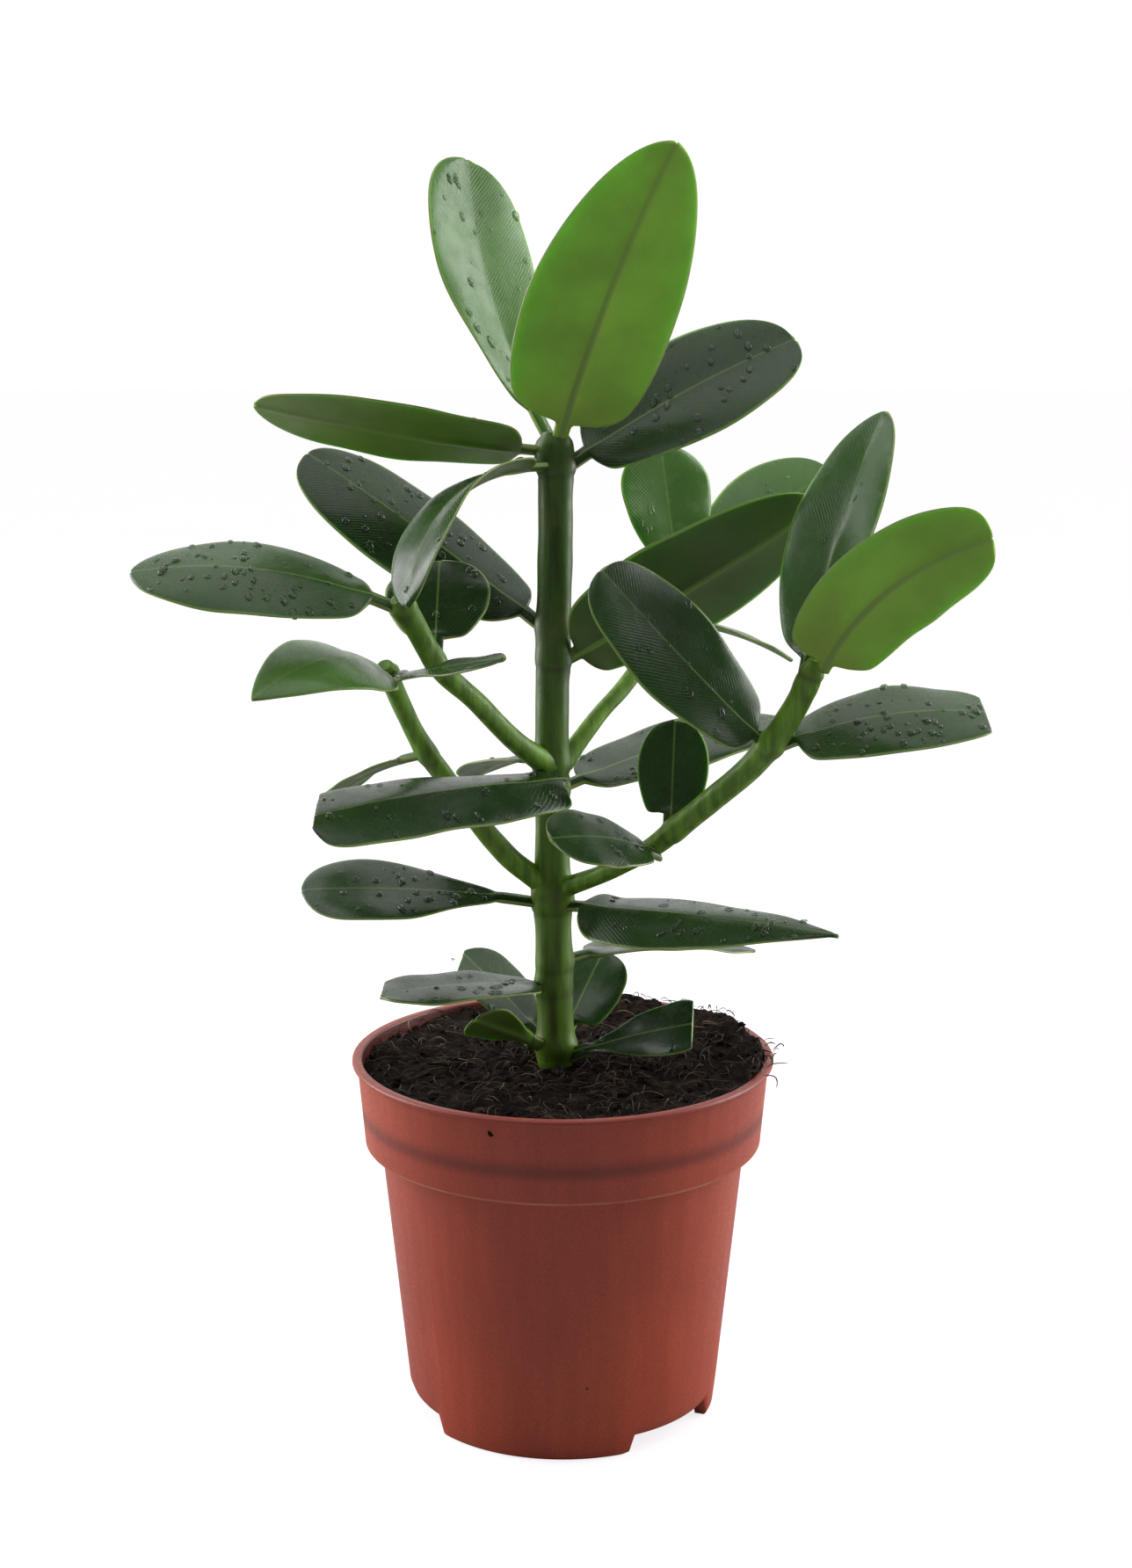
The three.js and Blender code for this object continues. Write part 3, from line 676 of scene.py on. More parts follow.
def leaf_finish(name, old, young, vein_depth, rib_colour, rough, rib_width):
    """One side of a leaf, with its midrib, side veins, margin and mottled colour."""
    finish = Finish(name)
    shares = finish.axes(finish.node("ShaderNodeUVMap", uv_map="share").outputs[0])
    lengths = finish.axes(finish.node("ShaderNodeUVMap", uv_map="length").outputs[0])
    place = finish.place()
    from_rib = finish.maths("ABSOLUTE", finish.maths("SUBTRACT", lengths[0], 0.5))
    from_rib = finish.times(from_rib, 100.0)
    down = finish.times(lengths[1], 100.0)
    edge = finish.times(finish.maths("ABSOLUTE", finish.maths(
        "SUBTRACT", shares[0], 0.5)), 2.0)

    young_share = finish.node("ShaderNodeAttribute", attribute_name="young").outputs["Fac"]
    colour = finish.mixed(young_share, old, young)
    colour = finish.shaded(colour, finish.grain(place, 55.0, 4.0), 0.3, 0.75, 0.86, 1.12)

    wander = finish.times(finish.grain(place, 120.0, 2.0), 1.6)
    slant = finish.maths("SUBTRACT", down, finish.times(from_rib, 1.25))
    phase = finish.times(finish.maths("ADD", slant, wander), 4.6)
    vein = finish.maths("MULTIPLY_ADD", finish.maths("SINE", phase), 0.5, 0.5)
    vein = finish.between(vein, 0.55, 1.0)
    patch = finish.between(finish.grain(place, 34.0, 2.0), 0.35, 0.7)
    seen = finish.times(vein, patch)
    paler = finish.mixed(0.35, colour, rib_colour)
    colour = finish.mixed(finish.times(seen, 0.30), colour, paler)

    rib = finish.between(from_rib, rib_width * 0.45, rib_width, 1.0, 0.0)
    rib = finish.times(rib, finish.between(down, 0.0, 70.0, 0.95, 0.35))
    colour = finish.mixed(rib, colour, rib_colour)
    rim = finish.between(edge, 0.925, 0.985)
    colour = finish.mixed(finish.times(rim, 0.85), colour, LEAF_EDGE)

    rough_spots = finish.grain(place, 240.0, 4.0)
    roughness = finish.between(rough_spots, 0.25, 0.75, rough - 0.07, rough + 0.08)
    fine = finish.grain(place, 900.0, 2.0)
    height = finish.maths("ADD", finish.times(seen, -0.5), finish.times(fine, 0.25))
    finish.bump(height, vein_depth, 0.0002)
    finish.set(Base_Color=colour, Roughness=roughness, IOR=1.45, Subsurface_Weight=0.6,
               Subsurface_Radius=(0.45, 1.0, 0.15), Subsurface_Scale=0.0022)
    return finish.material


def margin_finish():
    finish = Finish("leaf margin")
    place = finish.place()
    colour = finish.mixed(finish.grain(place, 160.0), (0.20, 0.30, 0.07, 1), (0.42, 0.50, 0.17, 1))
    finish.set(Base_Color=colour, Roughness=0.45)
    finish.bump(finish.grain(place, 700.0), 0.2, 0.0001)
    return finish.material


def stem_finish(settings):
    finish = Finish("green stem")
    place = finish.place()
    height = finish.axes(place)[2]
    colour = finish.mixed(finish.between(height, 0.15, 0.235), tuple(settings.low_colour),
                          tuple(settings.high_colour))
    fresh = finish.node("ShaderNodeAttribute", attribute_name="fresh").outputs["Fac"]
    colour = finish.mixed(fresh, colour, FRESH_BARK)
    streaks = finish.grain(finish.stretched(place, (1, 1, 0.12)), 420.0, 4.0)
    colour = finish.shaded(colour, streaks, 0.3, 0.7, 0.62, 1.35)
    patches = finish.between(finish.grain(place, 70.0, 3.0), 0.45, 0.75)
    colour = finish.mixed(finish.times(patches, 0.35), colour, BARK_PATCH)
    scar = finish.node("ShaderNodeAttribute", attribute_name="scar").outputs["Fac"]
    colour = finish.mixed(finish.times(scar, 0.8), colour, BARK_SCAR)
    specks = finish.between(finish.cells(place, 330.0), 0.0, 0.16, 1.0, 0.0)
    specks = finish.times(specks, finish.between(finish.grain(place, 90.0), 0.5, 0.62))
    colour = finish.mixed(finish.times(specks, 0.6), colour, BARK_SPECK)
    rough = finish.between(finish.grain(place, 300.0), 0.3, 0.7, 0.36, 0.52)
    finish.set(Base_Color=colour, Roughness=rough)
    finish.bump(finish.maths("ADD", streaks, finish.times(finish.grain(
        place, 1300.0), 0.3)), 0.35, 0.00035)
    return finish.material


def pot_finish(settings):
    """Satin moulded plastic, with a worn light edge under the collar, a few dark specks, and painted
    shade on the rim's lip and the inner wall.
    """
    finish = Finish("terracotta plastic")
    place = finish.place()
    height = finish.axes(place)[2]
    base = tuple(settings.colour)
    deep = (base[0] * 0.80, base[1] * 0.78, base[2] * 0.92, 1)
    colour = finish.mixed(finish.between(finish.grain(place, 14.0, 2.0), 0.35, 0.7), deep, base)
    flow = finish.grain(finish.stretched(place, (1, 1, 0.06)), 260.0, 3.0)
    colour = finish.shaded(colour, flow, 0.3, 0.7, 0.94, 1.05)
    grit = finish.grain(place, 2100.0, 2.0)
    colour = finish.shaded(colour, grit, 0.3, 0.7, 0.88, 1.10)
    below = finish.maths("ABSOLUTE", finish.maths("SUBTRACT", height, 0.0796))
    line = finish.between(below, 0.00018, 0.00055, 1.0, 0.0)
    worn = finish.between(finish.grain(place, 60.0), 0.3, 0.6, 0.25, 0.8)
    colour = finish.mixed(finish.times(line, worn), colour, WORN_EDGE)
    specks = finish.between(finish.cells(place, 75.0), 0.028, 0.045, 1.0, 0.0)
    colour = finish.mixed(finish.times(specks, 0.75), colour, POT_SPECK)
    # Painted shade: darkens the top of the rim's lip.
    shaded_lip = finish.between(height, 0.1024, 0.1036)
    colour = finish.mixed(finish.times(shaded_lip, 0.45), colour, RIM_LIP_SHADE)
    # Painted shade: darkens the inner wall near the top, above the soil.
    across = finish.node("ShaderNodeVectorMath", operation="LENGTH")
    finish.feed(across.inputs[0], finish.stretched(place, (1, 1, 0)))
    inside = finish.between(across.outputs["Value"], 0.0571, 0.0577, 1.0, 0.0)
    inner = finish.times(inside, finish.between(height, 0.085, 0.09))
    colour = finish.mixed(finish.times(inner, 0.85), colour, INNER_WALL_SHADE)
    rough = finish.between(finish.grain(place, 900.0, 3.0), 0.3, 0.7, 0.34, 0.46)
    finish.set(Base_Color=colour, Roughness=rough, IOR=1.5)
    finish.bump(finish.grain(place, 1500.0, 3.0), 0.12, 0.0001)
    return finish.material


def soil_finish(settings, name="damp soil", lift=1.0):
    finish = Finish(name)
    place = finish.place()
    dark = tuple(settings.colour)
    light = (dark[0] * 4.2 * lift, dark[1] * 3.9 * lift, dark[2] * 3.3 * lift, 1)
    clumps = finish.between(finish.grain(place, 190.0, 5.0, 0.6), 0.42, 0.72)
    colour = finish.mixed(clumps, dark, light)
    fibres = finish.grain(finish.stretched(place, (1, 0.2, 1)), 900.0, 3.0, 0.6, 1.5)
    threads = finish.between(fibres, 0.60, 0.72)
    colour = finish.mixed(finish.times(threads, 0.5), colour, SOIL_THREAD)
    finish.set(Base_Color=colour, Roughness=0.95, Specular_IOR_Level=0.12)
    rough = finish.maths("ADD", finish.grain(place, 380.0, 6.0, 0.7), finish.times(fibres, 0.6))
    finish.bump(rough, 0.9, 0.0012)
    return finish.material


def fibre_finish(name, dark, light):
    finish = Finish(name)
    place = finish.place()
    colour = finish.mixed(finish.between(finish.grain(place, 130.0), 0.35, 0.7), dark, light)
    finish.set(Base_Color=colour, Roughness=0.8)
    finish.bump(finish.grain(place, 1500.0), 0.4, 0.0001)
    return finish.material


def water_finish():
    finish = Finish("water")
    finish.set(Base_Color=(0.97, 0.99, 1.0, 1), Roughness=0.03, IOR=1.33,
               Transmission_Weight=1.0)
    return finish.material


def floor_finish():
    """Pale matt floor that looks lit from below and throws only a little light back."""
    finish = Finish("pale floor")
    place = finish.place()
    colour = finish.mixed(finish.grain(place, 3.0), (0.34, 0.335, 0.34, 1), (0.36, 0.355, 0.36, 1))
    rays = finish.node("ShaderNodeLightPath")
    glow = finish.times(rays.outputs["Is Camera Ray"], 0.84)
    finish.set(Base_Color=colour, Roughness=0.8, Specular_IOR_Level=0.0,
               Emission_Color=(1.0, 0.97, 0.985, 1), Emission_Strength=glow)
    return finish.material


# ---------------------------------------------------------------- pieces


class PLANT_OT_pot(bpy.types.Operator):
    """Model the nursery pot, from its feet to its beaded rim"""

    bl_idname = "plant.pot"
    bl_label = "Nursery Pot"

    def execute(self, context):
        settings = context.scene.plant_pot
        top = settings.height
        rim = settings.rim_radius
        ledge = top - COLLAR_HEIGHT
        foot = FOOT_RADIUS
        outside = [
            (foot - FOOT_RING, 0.0), (foot - 0.6 * MM, 0.0), (foot, 0.7 * MM),
            (foot + 0.9 * MM, 8 * MM), (BODY_TOP, ledge - 0.5 * MM),
            (BODY_TOP + 0.3 * MM, ledge - 0.1 * MM), (COLLAR_BOTTOM - 0.6 * MM, ledge),
            (COLLAR_BOTTOM, ledge + 0.6 * MM), (COLLAR_TOP, top - 1.9 * MM),
            (COLLAR_TOP + 0.4 * MM, top - 1.6 * MM), (rim - 0.35 * MM, top - 1.5 * MM),
            (rim, top - 1.0 * MM), (rim - 0.05 * MM, top - 0.4 * MM), (rim - 0.5 * MM, top),
        ]
        inside = [
            (COLLAR_TOP - 1.0 * MM, top), (COLLAR_TOP - POT_WALL, top - 0.5 * MM),
            (COLLAR_BOTTOM - POT_WALL, ledge + POT_WALL), (BODY_TOP - POT_WALL, ledge),
            (foot - POT_WALL + 0.6 * MM, FLOOR_TOP),
        ]
        radius, height = foot - FOOT_RING, FLOOR_UNDER
        start_fresh()
        bpy.ops.mesh.primitive_circle_add(vertices=settings.sides, radius=radius,
                                          location=(0, 0, height), fill_type="NOTHING")
        pot = context.object
        name_piece(pot, "nursery_pot")
        bpy.ops.object.transform_apply(location=True)
        bpy.ops.object.mode_set(mode="EDIT")
        bpy.ops.mesh.select_all(action="SELECT")
        for next_radius, next_height in outside + inside:
            bpy.ops.mesh.extrude_region_move(
                TRANSFORM_OT_translate={"value": (0, 0, next_height - height)})
            ratio = next_radius / radius
            bpy.ops.transform.resize(value=(ratio, ratio, 1), center_override=(0, 0, 0))
            radius, height = next_radius, next_height
        bpy.ops.mesh.edge_face_add()
        bpy.ops.mesh.select_all(action="DESELECT")
        bpy.ops.mesh.select_mode(type="EDGE")
        bpy.ops.mesh.select_non_manifold()
        bpy.ops.mesh.edge_face_add()
        bpy.ops.mesh.select_all(action="SELECT")
        bpy.ops.mesh.normals_make_consistent(inside=False)
        bpy.ops.object.mode_set(mode="OBJECT")
        self.cut_feet(pot)
        self.drill(pot)
        apply_modifier(pot, "BEVEL", width=0.18 * MM, segments=2, limit_method="ANGLE",
                       angle_limit=math.radians(28))
        smooth(pot, 32)
        pot.data.materials.append(pot_finish(settings))
        ride_on_plant(pot, "pot_plastic", "pot")
        return {"FINISHED"}

    def cut_feet(self, pot):
        """Raises the foot ring between the three feet."""
        for vertex in pot.data.vertices:
            if vertex.co.z > MM or vertex.co.xy.length < FOOT_RADIUS - 4 * MM:
                continue
            turn = math.degrees(math.atan2(vertex.co.x, -vertex.co.y))
            if (turn - FIRST_FOOT) % (360 / FOOT_COUNT) > FOOT_ARC:
                vertex.co.z += NOTCH_HEIGHT

    def drill(self, pot):
        """Cuts one drain hole in the middle of the floor and six around it."""
        cutters = []
        for hole in range(DRAINS_AROUND + 1):
            angle = math.radians(360 / DRAINS_AROUND * hole)
            reach = 0 if hole == DRAINS_AROUND else DRAIN_RING
            start_fresh()
            bpy.ops.mesh.primitive_cylinder_add(
                vertices=28, radius=DRAIN_RADIUS, depth=2 * DRAIN_RADIUS,
                location=(reach * math.sin(angle), -reach * math.cos(angle),
                          FLOOR_UNDER + 0.5 * MM))
            cutters.append(bpy.context.object)
        cutter = join_pieces("drill", cutters)
        apply_modifier(pot, "BOOLEAN", object=cutter, operation="DIFFERENCE", solver="EXACT")
        bpy.data.objects.remove(cutter)


def soil_height(settings, x, y):
    """Height of the uneven soil surface."""
    radius = math.hypot(x, y)
    share = min(radius / SOIL_RADIUS, 1.0)
    height = settings.level + settings.crown * (1 - share) + SOIL_LEAN * (x + y)
    for size, fineness, start in SOIL_BUMPS:
        height += size * MM * noise.noise(Vector((x, y, 0)) * fineness + Vector(start))
    heap = ease(0.75, 1.0, share) * ease(-0.1, 0.9, (x + 0.6 * y) / max(radius, MM))
    height += 2.6 * MM * heap
    trough = ease(0.86, 1.0, share) * ease(0.1, 0.8, -(x + 0.5 * y) / max(radius, MM))
    return height + 1.5 * MM * ease(0.8, 1.0, share) - 0.4 * MM * trough


class PLANT_OT_soil(bpy.types.Operator):
    """Model the potting soil with its crumbs and fibres"""

    bl_idname = "plant.soil"
    bl_label = "Potting Soil"

    def execute(self, context):
        settings = context.scene.plant_soil
        randomness = random.Random(11)
        outline = [(0, 7.6 * MM), (42.4 * MM, 7.6 * MM), (50.0 * MM, 79 * MM),
                   (54.6 * MM, 81 * MM), (SOIL_RADIUS, 98 * MM)]

        def place(across, along):
            angle = math.pi * across
            if along < UNDERGROUND:
                at = along / UNDERGROUND * (len(outline) - 1)
                step = min(int(at), len(outline) - 2)
                low, high = outline[step], outline[step + 1]
                radius = blend_value(low[0], high[0], at - step)
                return Vector((radius * math.cos(angle), radius * math.sin(angle),
                               blend_value(low[1], high[1], at - step)))
            share = 1 - (along - UNDERGROUND) / (1 - UNDERGROUND)
            radius = SOIL_RADIUS * share
            x, y = radius * math.cos(angle), radius * math.sin(angle)
            return Vector((x, y, soil_height(settings, x, y)))

        soil = grid_piece("potting_soil", 260, 125, place)
        close_up(soil)
        smooth(soil)
        soil.data.materials.append(soil_finish(settings))
        ride_on_plant(soil, "soil", "soil")
        self.scatter_crumbs(settings, randomness)
        self.scatter_fibres(settings, randomness)
        return {"FINISHED"}

    def somewhere(self, settings, randomness, outward=0.5):
        radius = (SOIL_RADIUS + 0.7 * MM) * randomness.random() ** outward
        angle = randomness.uniform(-math.pi, math.pi)
        x, y = radius * math.cos(angle), radius * math.sin(angle)
        return Vector((x, y, soil_height(settings, x, y)))

    def scatter_crumbs(self, settings, randomness):
        start_fresh()
        bpy.ops.mesh.primitive_ico_sphere_add(subdivisions=2, radius=1)
        model = bpy.context.object
        for vertex in model.data.vertices:
            vertex.co *= 0.8 + 0.55 * noise.noise(vertex.co * 1.7)
        crumbs = []
        for _ in range(settings.crumbs):
            spot = self.somewhere(settings, randomness)
            if spot.xy.length < 6 * MM:
                continue
            size = randomness.uniform(0.35, 1.5) * MM
            turn = Matrix.Rotation(randomness.uniform(0, 6.28), 4, Vector((
                randomness.uniform(-1, 1), randomness.uniform(-1, 1), 0.4)).normalized())
            squash = Matrix.Diagonal((size, size * randomness.uniform(0.6, 1.2), size * 0.75, 1))
            crumbs.append(copy_of(model, Matrix.Translation(spot) @ turn @ squash))
        bpy.data.objects.remove(model)
        crumb_piece = join_pieces("soil_crumbs", crumbs)
        smooth(crumb_piece)
        crumb_piece.data.materials.append(soil_finish(settings, "soil crumb", 1.3))
        ride_on_plant(crumb_piece, "soil")

    def scatter_fibres(self, settings, randomness):
        kinds = {
            "dark_fibres": (fibre_finish("dark fibre", (0.022, 0.014, 0.010, 1),
                                         (0.085, 0.050, 0.028, 1)), 0.86, 0.22),
            "pale_rootlets": (fibre_finish("pale rootlet", (0.10, 0.060, 0.032, 1),
                                           (0.36, 0.26, 0.15, 1)), 0.14, 0.16),
        }
        model = grid_piece("fibre", 3, 7, lambda across, along: Vector((
            math.cos(math.pi * across) * math.sin(math.pi * min(max(along, 0.0), 1.0)) ** 0.35,
            math.sin(math.pi * across) * math.sin(math.pi * min(max(along, 0.0), 1.0)) ** 0.35,
            along)))
        close_up(model, 1e-4)
        for name, (material, share, thickness) in kinds.items():
            fibres = []
            for _ in range(int(settings.fibres * share)):
                fibres.append(self.lay_fibre(model, settings, randomness, thickness))
            if name == "dark_fibres":
                fibres += self.rim_fibres(model, settings, randomness)
            piece = join_pieces(name, fibres)
            smooth(piece)
            piece.data.materials.append(material)
            ride_on_plant(piece, "soil")
        bpy.data.objects.remove(model)

    def lay_fibre(self, model, settings, randomness, thickness, spot=None, lift=None):
        """One fibre lying on the soil in a loose curl."""
        spot = spot or self.somewhere(settings, randomness, 0.55)
        heading = randomness.uniform(-math.pi, math.pi)
        length = randomness.uniform(3, 11) * MM
        curl = randomness.uniform(-2.2, 2.2)
        hump = randomness.uniform(0.2, 2.0) * MM
        pitch = randomness.uniform(0.0, 0.22) if lift is None else lift
        radius = thickness * randomness.uniform(0.5, 1.1) * MM
        fibre = copy_of(model, Matrix.Identity(4))
        for vertex in fibre.data.vertices:
            along = vertex.co.z
            angle = heading + curl * along
            ahead = Vector((math.cos(angle), math.sin(angle), 0))
            aside = Vector((-ahead.y, ahead.x, 0))
            middle = spot + Vector((math.cos(heading + curl * along / 2),
                                    math.sin(heading + curl * along / 2), 0)) * (length * along)
            middle.z += hump * math.sin(math.pi * along) + pitch * length * along
            if lift is None and middle.xy.length > 57 * MM:
                middle.xy = middle.xy * (57 * MM / middle.xy.length)
            if lift is None:
                middle.z = max(middle.z, soil_height(settings, middle.x, middle.y) + 0.1 * MM)
            vertex.co = middle + aside * vertex.co.x * radius + Vector((0, 0, vertex.co.y * radius))
        return fibre

    def rim_fibres(self, model, settings, randomness):
        """Fibres caught on the rim at the right and the back."""
        caught = []
        for _ in range(46):
            angle = math.radians(randomness.uniform(-24, 112))
            reach = randomness.uniform(56.5, 60.2) * MM
            spot = Vector((reach * math.cos(angle), reach * math.sin(angle),
                           104.2 * MM + randomness.uniform(0, 0.6) * MM))
            caught.append(self.lay_fibre(model, settings, randomness, 0.24, spot,
                                         randomness.uniform(-0.25, 0.45)))
        return caught


class PLANT_OT_stems(bpy.types.Operator):
    """Model the stem and its branches, swollen and scarred where leaves join"""

    bl_idname = "plant.stems"
    bl_label = "Stem and Branches"

    def execute(self, context):
        settings = context.scene.plant_stem
        material = stem_finish(settings)
        for name in STEMS:
            self.grow(name, settings, material)
        return {"FINISHED"}

    def joints(self, name):
        """Where leaves and branches leave this stem: how far along, which way, how thick."""
        found = []
        for form in FORMS.values():
            if form.row["stem"] == name and "on" in form.row:
                found.append((form.row["on"], (form.tip - form.base).normalized(), 1.0))
        if name == "main_stem":
            for branch in list(STEMS)[1:]:
                start, heading = on_path(PATHS[branch], 0)
                away = [(point - start).length for point in PATHS[name]]
                found.append((away.index(min(away)) / PATH_STEPS, heading, 1.5))
        return found

    def grow(self, name, settings, material):
        stem = STEMS[name]
        path = PATHS[name]
        length = sum((b - a).length for a, b in zip(path, path[1:]))
        joints = self.joints(name)
        seed = len(name) * 1.7
        scars = {}

        def place(across, along):
            centre, direction = on_path(path, along)
            side = Vector((0, -1, 0)).cross(direction).normalized()
            front = direction.cross(side)
            angle = math.pi * across
            outward = side * math.cos(angle) + front * math.sin(angle)
            radius = value_along(stem["radii"], along) * MM
            scar = 0.0
            for at, heading, size in joints:
                away = (along - at) * length
                facing = max(0.0, outward.dot(heading))
                radius += 0.75 * size * MM * math.exp(-(away / (4.2 * MM)) ** 2) * facing ** 2
                radius += 0.22 * MM * math.exp(-(away / (2.4 * MM)) ** 2)
                radius -= 0.16 * MM * math.exp(-((away + 2.6 * MM) / (0.5 * MM)) ** 2)
                scar = max(scar, 0.55 * math.exp(-((away + 2.6 * MM) / (0.45 * MM)) ** 2))
            place_on = Vector((math.cos(angle), math.sin(angle), along * length * 120 + seed))
            radius += 0.16 * MM * noise.noise(place_on)
            radius += 0.10 * MM * math.cos(3 * angle + seed + along * 2)
            if name != "main_stem":
                radius += 0.5 * MM * math.exp(-along * length / (3 * MM))
                radius *= 1 - 0.35 * ease(0.965, 1.0, along)
            else:
                radius *= 1 - 0.3 * ease(0.985, 1.0, along)
            spot = centre + outward * radius
            scars[tuple(round(value, 6) for value in spot)] = scar
            return spot

        piece = grid_piece(f"{name}_bark", settings.sides, stem["rings"], place)
        close_up(piece)
        layer = piece.data.attributes.new("scar", "FLOAT", "POINT")
        for vertex, value in zip(piece.data.vertices, layer.data):
            value.value = scars.get(tuple(round(part, 6) for part in vertex.co), 0.0)
        fresh = piece.data.attributes.new("fresh", "FLOAT", "POINT")
        amount = 0.0 if name == "main_stem" else 0.7
        fresh.data.foreach_set("value", [amount] * len(piece.data.vertices))
        smooth(piece, 60)
        piece.data.materials.append(material)
        ride_on_plant(piece, "stem", name)


class PLANT_OT_leaves(bpy.types.Operator):
    """Model the leaves, each with a thick stalk, a raised midrib and a thin margin"""

    bl_idname = "plant.leaves"
    bl_label = "Leaves"

    def execute(self, context):
        settings = context.scene.plant_leaf
        upper = leaf_finish("leaf upper side", tuple(settings.old_upper),
                            tuple(settings.young_upper), 0.35, UPPER_RIB, 0.24, 0.45)
        under = leaf_finish("leaf underside", tuple(settings.old_under),
                            tuple(settings.young_under), 0.25, UNDER_RIB, 0.42, 1.1)
        materials = (upper, under, margin_finish())
        for form in FORMS.values():
            self.grow(form, materials)
        return {"FINISHED"}

    def grow(self, form, materials):
        leaf = grid_piece(form.name.replace("_leaf", "_blade"), 18, 40,
                          lambda across, along: form.place(*form.spread(across, along)))
        self.measure(leaf, form)
        self.trim(leaf, form)
        for material in materials:
            leaf.data.materials.append(material)
        apply_modifier(leaf, "SOLIDIFY", thickness=PETIOLE_THICKNESS, offset=0,
                       use_quality_normals=True, vertex_group="thickness",
                       material_offset=1, material_offset_rim=2)
        apply_modifier(leaf, "SUBSURF", levels=1, render_levels=1)
        young = leaf.data.attributes.new("young", "FLOAT", "POINT")
        young.data.foreach_set("value", [form.row["young"]] * len(leaf.data.vertices))
        leaf.vertex_groups.clear()
        smooth(leaf)
        ride_on_plant(leaf, "leaf", form.name)

    def measure(self, leaf, form):
        """Writes the share and length maps, and the thickness of every vertex."""
        mesh = leaf.data
        shares = mesh.uv_layers[0]
        shares.name = "share"
        lengths = mesh.uv_layers.new(name="length")
        group = leaf.vertex_groups.new(name="thickness")
        for loop in mesh.loops:
            uv = mesh.uv_layers["share"].data[loop.index].uv
            across, along = form.spread(2 * uv[0] - 1, uv[1])
            out = across * form.half_width(along)
            lengths.data[loop.index].uv = (0.5 + out * 10, along * form.length * 10)
            share = form.thickness(across, along) / PETIOLE_THICKNESS
            group.add([loop.vertex_index], min(share, 1.0), "REPLACE")
        for loop in mesh.loops:
            uv = mesh.uv_layers["share"].data[loop.index].uv
            across, along = form.spread(2 * uv[0] - 1, uv[1])
            uv[0], uv[1] = (across + 1) / 2, along

    def trim(self, leaf, form):
        """Cuts a blunt tip straight across, where the leaf has one."""
        if "trim" not in form.row:
            return
        point, normal = form.row["trim"]
        pick(leaf)
        bpy.ops.object.mode_set(mode="EDIT")
        bpy.ops.mesh.select_all(action="SELECT")
        bpy.ops.mesh.bisect(plane_co=Vector(point) * MM, plane_no=normal, clear_outer=True)
        bpy.ops.object.mode_set(mode="OBJECT")


class PLANT_OT_drops(bpy.types.Operator):
    """Scatter water drops on the leaves"""

    bl_idname = "plant.drops"
    bl_label = "Water Drops"

    def execute(self, context):
        settings = context.scene.plant_drops
        randomness = random.Random(5)
        start_fresh()
        bpy.ops.mesh.primitive_uv_sphere_add(segments=9, ring_count=6, radius=1)
        model = context.object
        drops = []
        for form in FORMS.values():
            for _ in range(form.row["drops"]):
                across = randomness.uniform(-0.92, 0.92)
                along = randomness.uniform(form.petiole + 0.08, 0.95)
                point, normal = form.surface(across, along)
                size = settings.radius * randomness.uniform(0.45, 1.55)
                axes = Matrix.Identity(3)
                axes.col[2] = normal
                axes.col[0] = (Vector((0, 0, -1)) - normal * -normal.z).normalized()
                axes.col[1] = axes.col[2].cross(axes.col[0])
                shape = Matrix.Diagonal((size * randomness.uniform(1.0, 1.8), size, size * 0.55, 1))
                drops.append(copy_of(model, Matrix.Translation(point) @ axes.to_4x4() @ shape))
        bpy.data.objects.remove(model)
        piece = join_pieces("water_drops", drops)
        smooth(piece)
        piece.data.materials.append(water_finish())
        ride_on_plant(piece, "leaf")
        return {"FINISHED"}


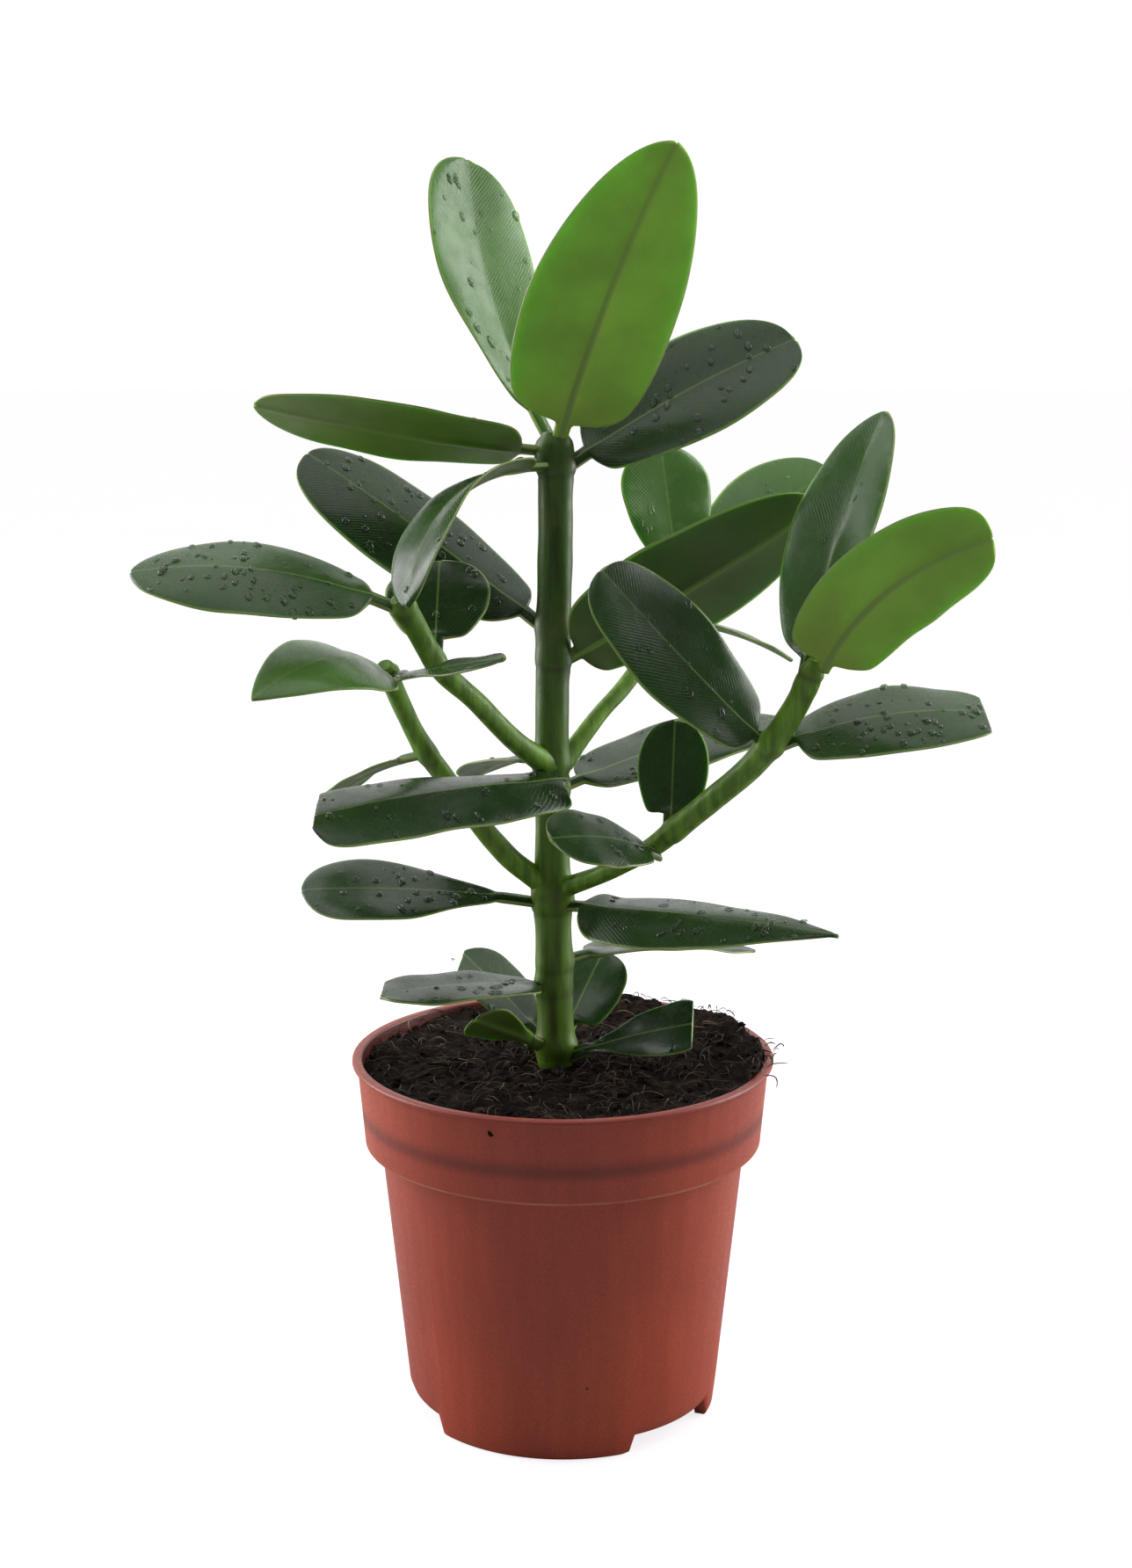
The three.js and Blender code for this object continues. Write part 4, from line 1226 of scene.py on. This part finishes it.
class PLANT_OT_stage(bpy.types.Operator):
    """Set up the pale floor, the soft light and the camera"""

    bl_idname = "plant.stage"
    bl_label = "Stage"

    def execute(self, context):
        settings = context.scene.plant_stage
        start_fresh()
        bpy.ops.mesh.primitive_plane_add(size=settings.floor_size, location=(0, 0, -0.0002))
        floor = context.object
        bpy.ops.object.transform_apply(location=True)
        name_piece(floor, "floor")
        floor.data.materials.append(floor_finish())
        self.surround(context.scene, settings)
        for row in SOFTBOXES:
            self.softbox(*row)
        bpy.ops.object.camera_add(location=CAMERA_PLACE,
                                  rotation=(math.radians(CAMERA_TILT), 0, 0))
        camera = context.object
        camera.name = "camera"
        camera.data.lens = CAMERA_LENS
        camera.data.sensor_width = 36
        camera.data.sensor_fit = "AUTO"
        context.scene.camera = camera
        context.scene.view_settings.view_transform = "Standard"
        return {"FINISHED"}

    def surround(self, scene, settings):
        """White all round, and dimmer light from the front, where nothing is lit."""
        world = bpy.data.worlds.new("studio")
        scene.world = world
        world.use_nodes = True
        tree = world.node_tree
        background = tree.nodes["Background"]
        background.inputs["Color"].default_value = (1, 1, 1, 1)
        coordinates = tree.nodes.new("ShaderNodeTexCoord")
        facing = tree.nodes.new("ShaderNodeVectorMath")
        facing.operation = "DOT_PRODUCT"
        facing.inputs[1].default_value = (0, 0.97, 0.24)
        tree.links.new(coordinates.outputs["Generated"], facing.inputs[0])
        level = tree.nodes.new("ShaderNodeMapRange")
        level.interpolation_type = "SMOOTHSTEP"
        level.inputs["From Min"].default_value = -0.35
        level.inputs["From Max"].default_value = 0.75
        level.inputs["To Min"].default_value = 0.12 * settings.light
        level.inputs["To Max"].default_value = 0.92 * settings.light
        tree.links.new(facing.outputs["Value"], level.inputs["Value"])
        rays = tree.nodes.new("ShaderNodeLightPath")
        seen = tree.nodes.new("ShaderNodeMix")
        tree.links.new(rays.outputs["Is Camera Ray"], seen.inputs["Factor"])
        tree.links.new(level.outputs["Result"], seen.inputs["A"])
        seen.inputs["B"].default_value = 1.05
        tree.links.new(seen.outputs["Result"], background.inputs["Strength"])

    def softbox(self, name, place, target, width, height, power):
        bpy.ops.object.light_add(type="AREA", location=place)
        light = bpy.context.object
        light.name = name
        light.rotation_euler = (Vector(target) - Vector(place)).to_track_quat("-Z", "Y").to_euler()
        light.data.shape = "RECTANGLE"
        light.data.size = width
        light.data.size_y = height
        light.data.energy = power


class PLANT_PT_panel(bpy.types.Panel):
    """Lists the plant's pieces"""

    bl_idname = "PLANT_PT_panel"
    bl_label = "Potted Autograph Tree"
    bl_space_type = "VIEW_3D"
    bl_region_type = "UI"
    bl_category = "Plant"

    def draw(self, context):
        for operator, settings in STEPS:
            box = self.layout.box()
            box.operator(operator.bl_idname)
            group = getattr(context.scene, settings)
            for key in type(group).__annotations__:
                box.prop(group, key)


STEPS = (
    (PLANT_OT_pot, "plant_pot"),
    (PLANT_OT_soil, "plant_soil"),
    (PLANT_OT_stems, "plant_stem"),
    (PLANT_OT_leaves, "plant_leaf"),
    (PLANT_OT_drops, "plant_drops"),
    (PLANT_OT_stage, "plant_stage"),
)
SETTINGS = {
    "plant_pot": PotSettings,
    "plant_soil": SoilSettings,
    "plant_stem": StemSettings,
    "plant_leaf": LeafSettings,
    "plant_drops": DropSettings,
    "plant_stage": StageSettings,
}


def register():
    for key, settings in SETTINGS.items():
        bpy.utils.register_class(settings)
        setattr(bpy.types.Scene, key, bpy.props.PointerProperty(type=settings))
    for operator, _ in STEPS:
        bpy.utils.register_class(operator)
    bpy.utils.register_class(PLANT_PT_panel)


def unregister():
    bpy.utils.unregister_class(PLANT_PT_panel)
    for operator, _ in reversed(STEPS):
        bpy.utils.unregister_class(operator)
    for key, settings in SETTINGS.items():
        delattr(bpy.types.Scene, key)
        bpy.utils.unregister_class(settings)


def main():
    register()
    bpy.ops.plant.pot()
    bpy.ops.plant.soil()
    bpy.ops.plant.stems()
    bpy.ops.plant.leaves()
    bpy.ops.plant.drops()
    bpy.ops.plant.stage()


if __name__ == "__main__":
    main()
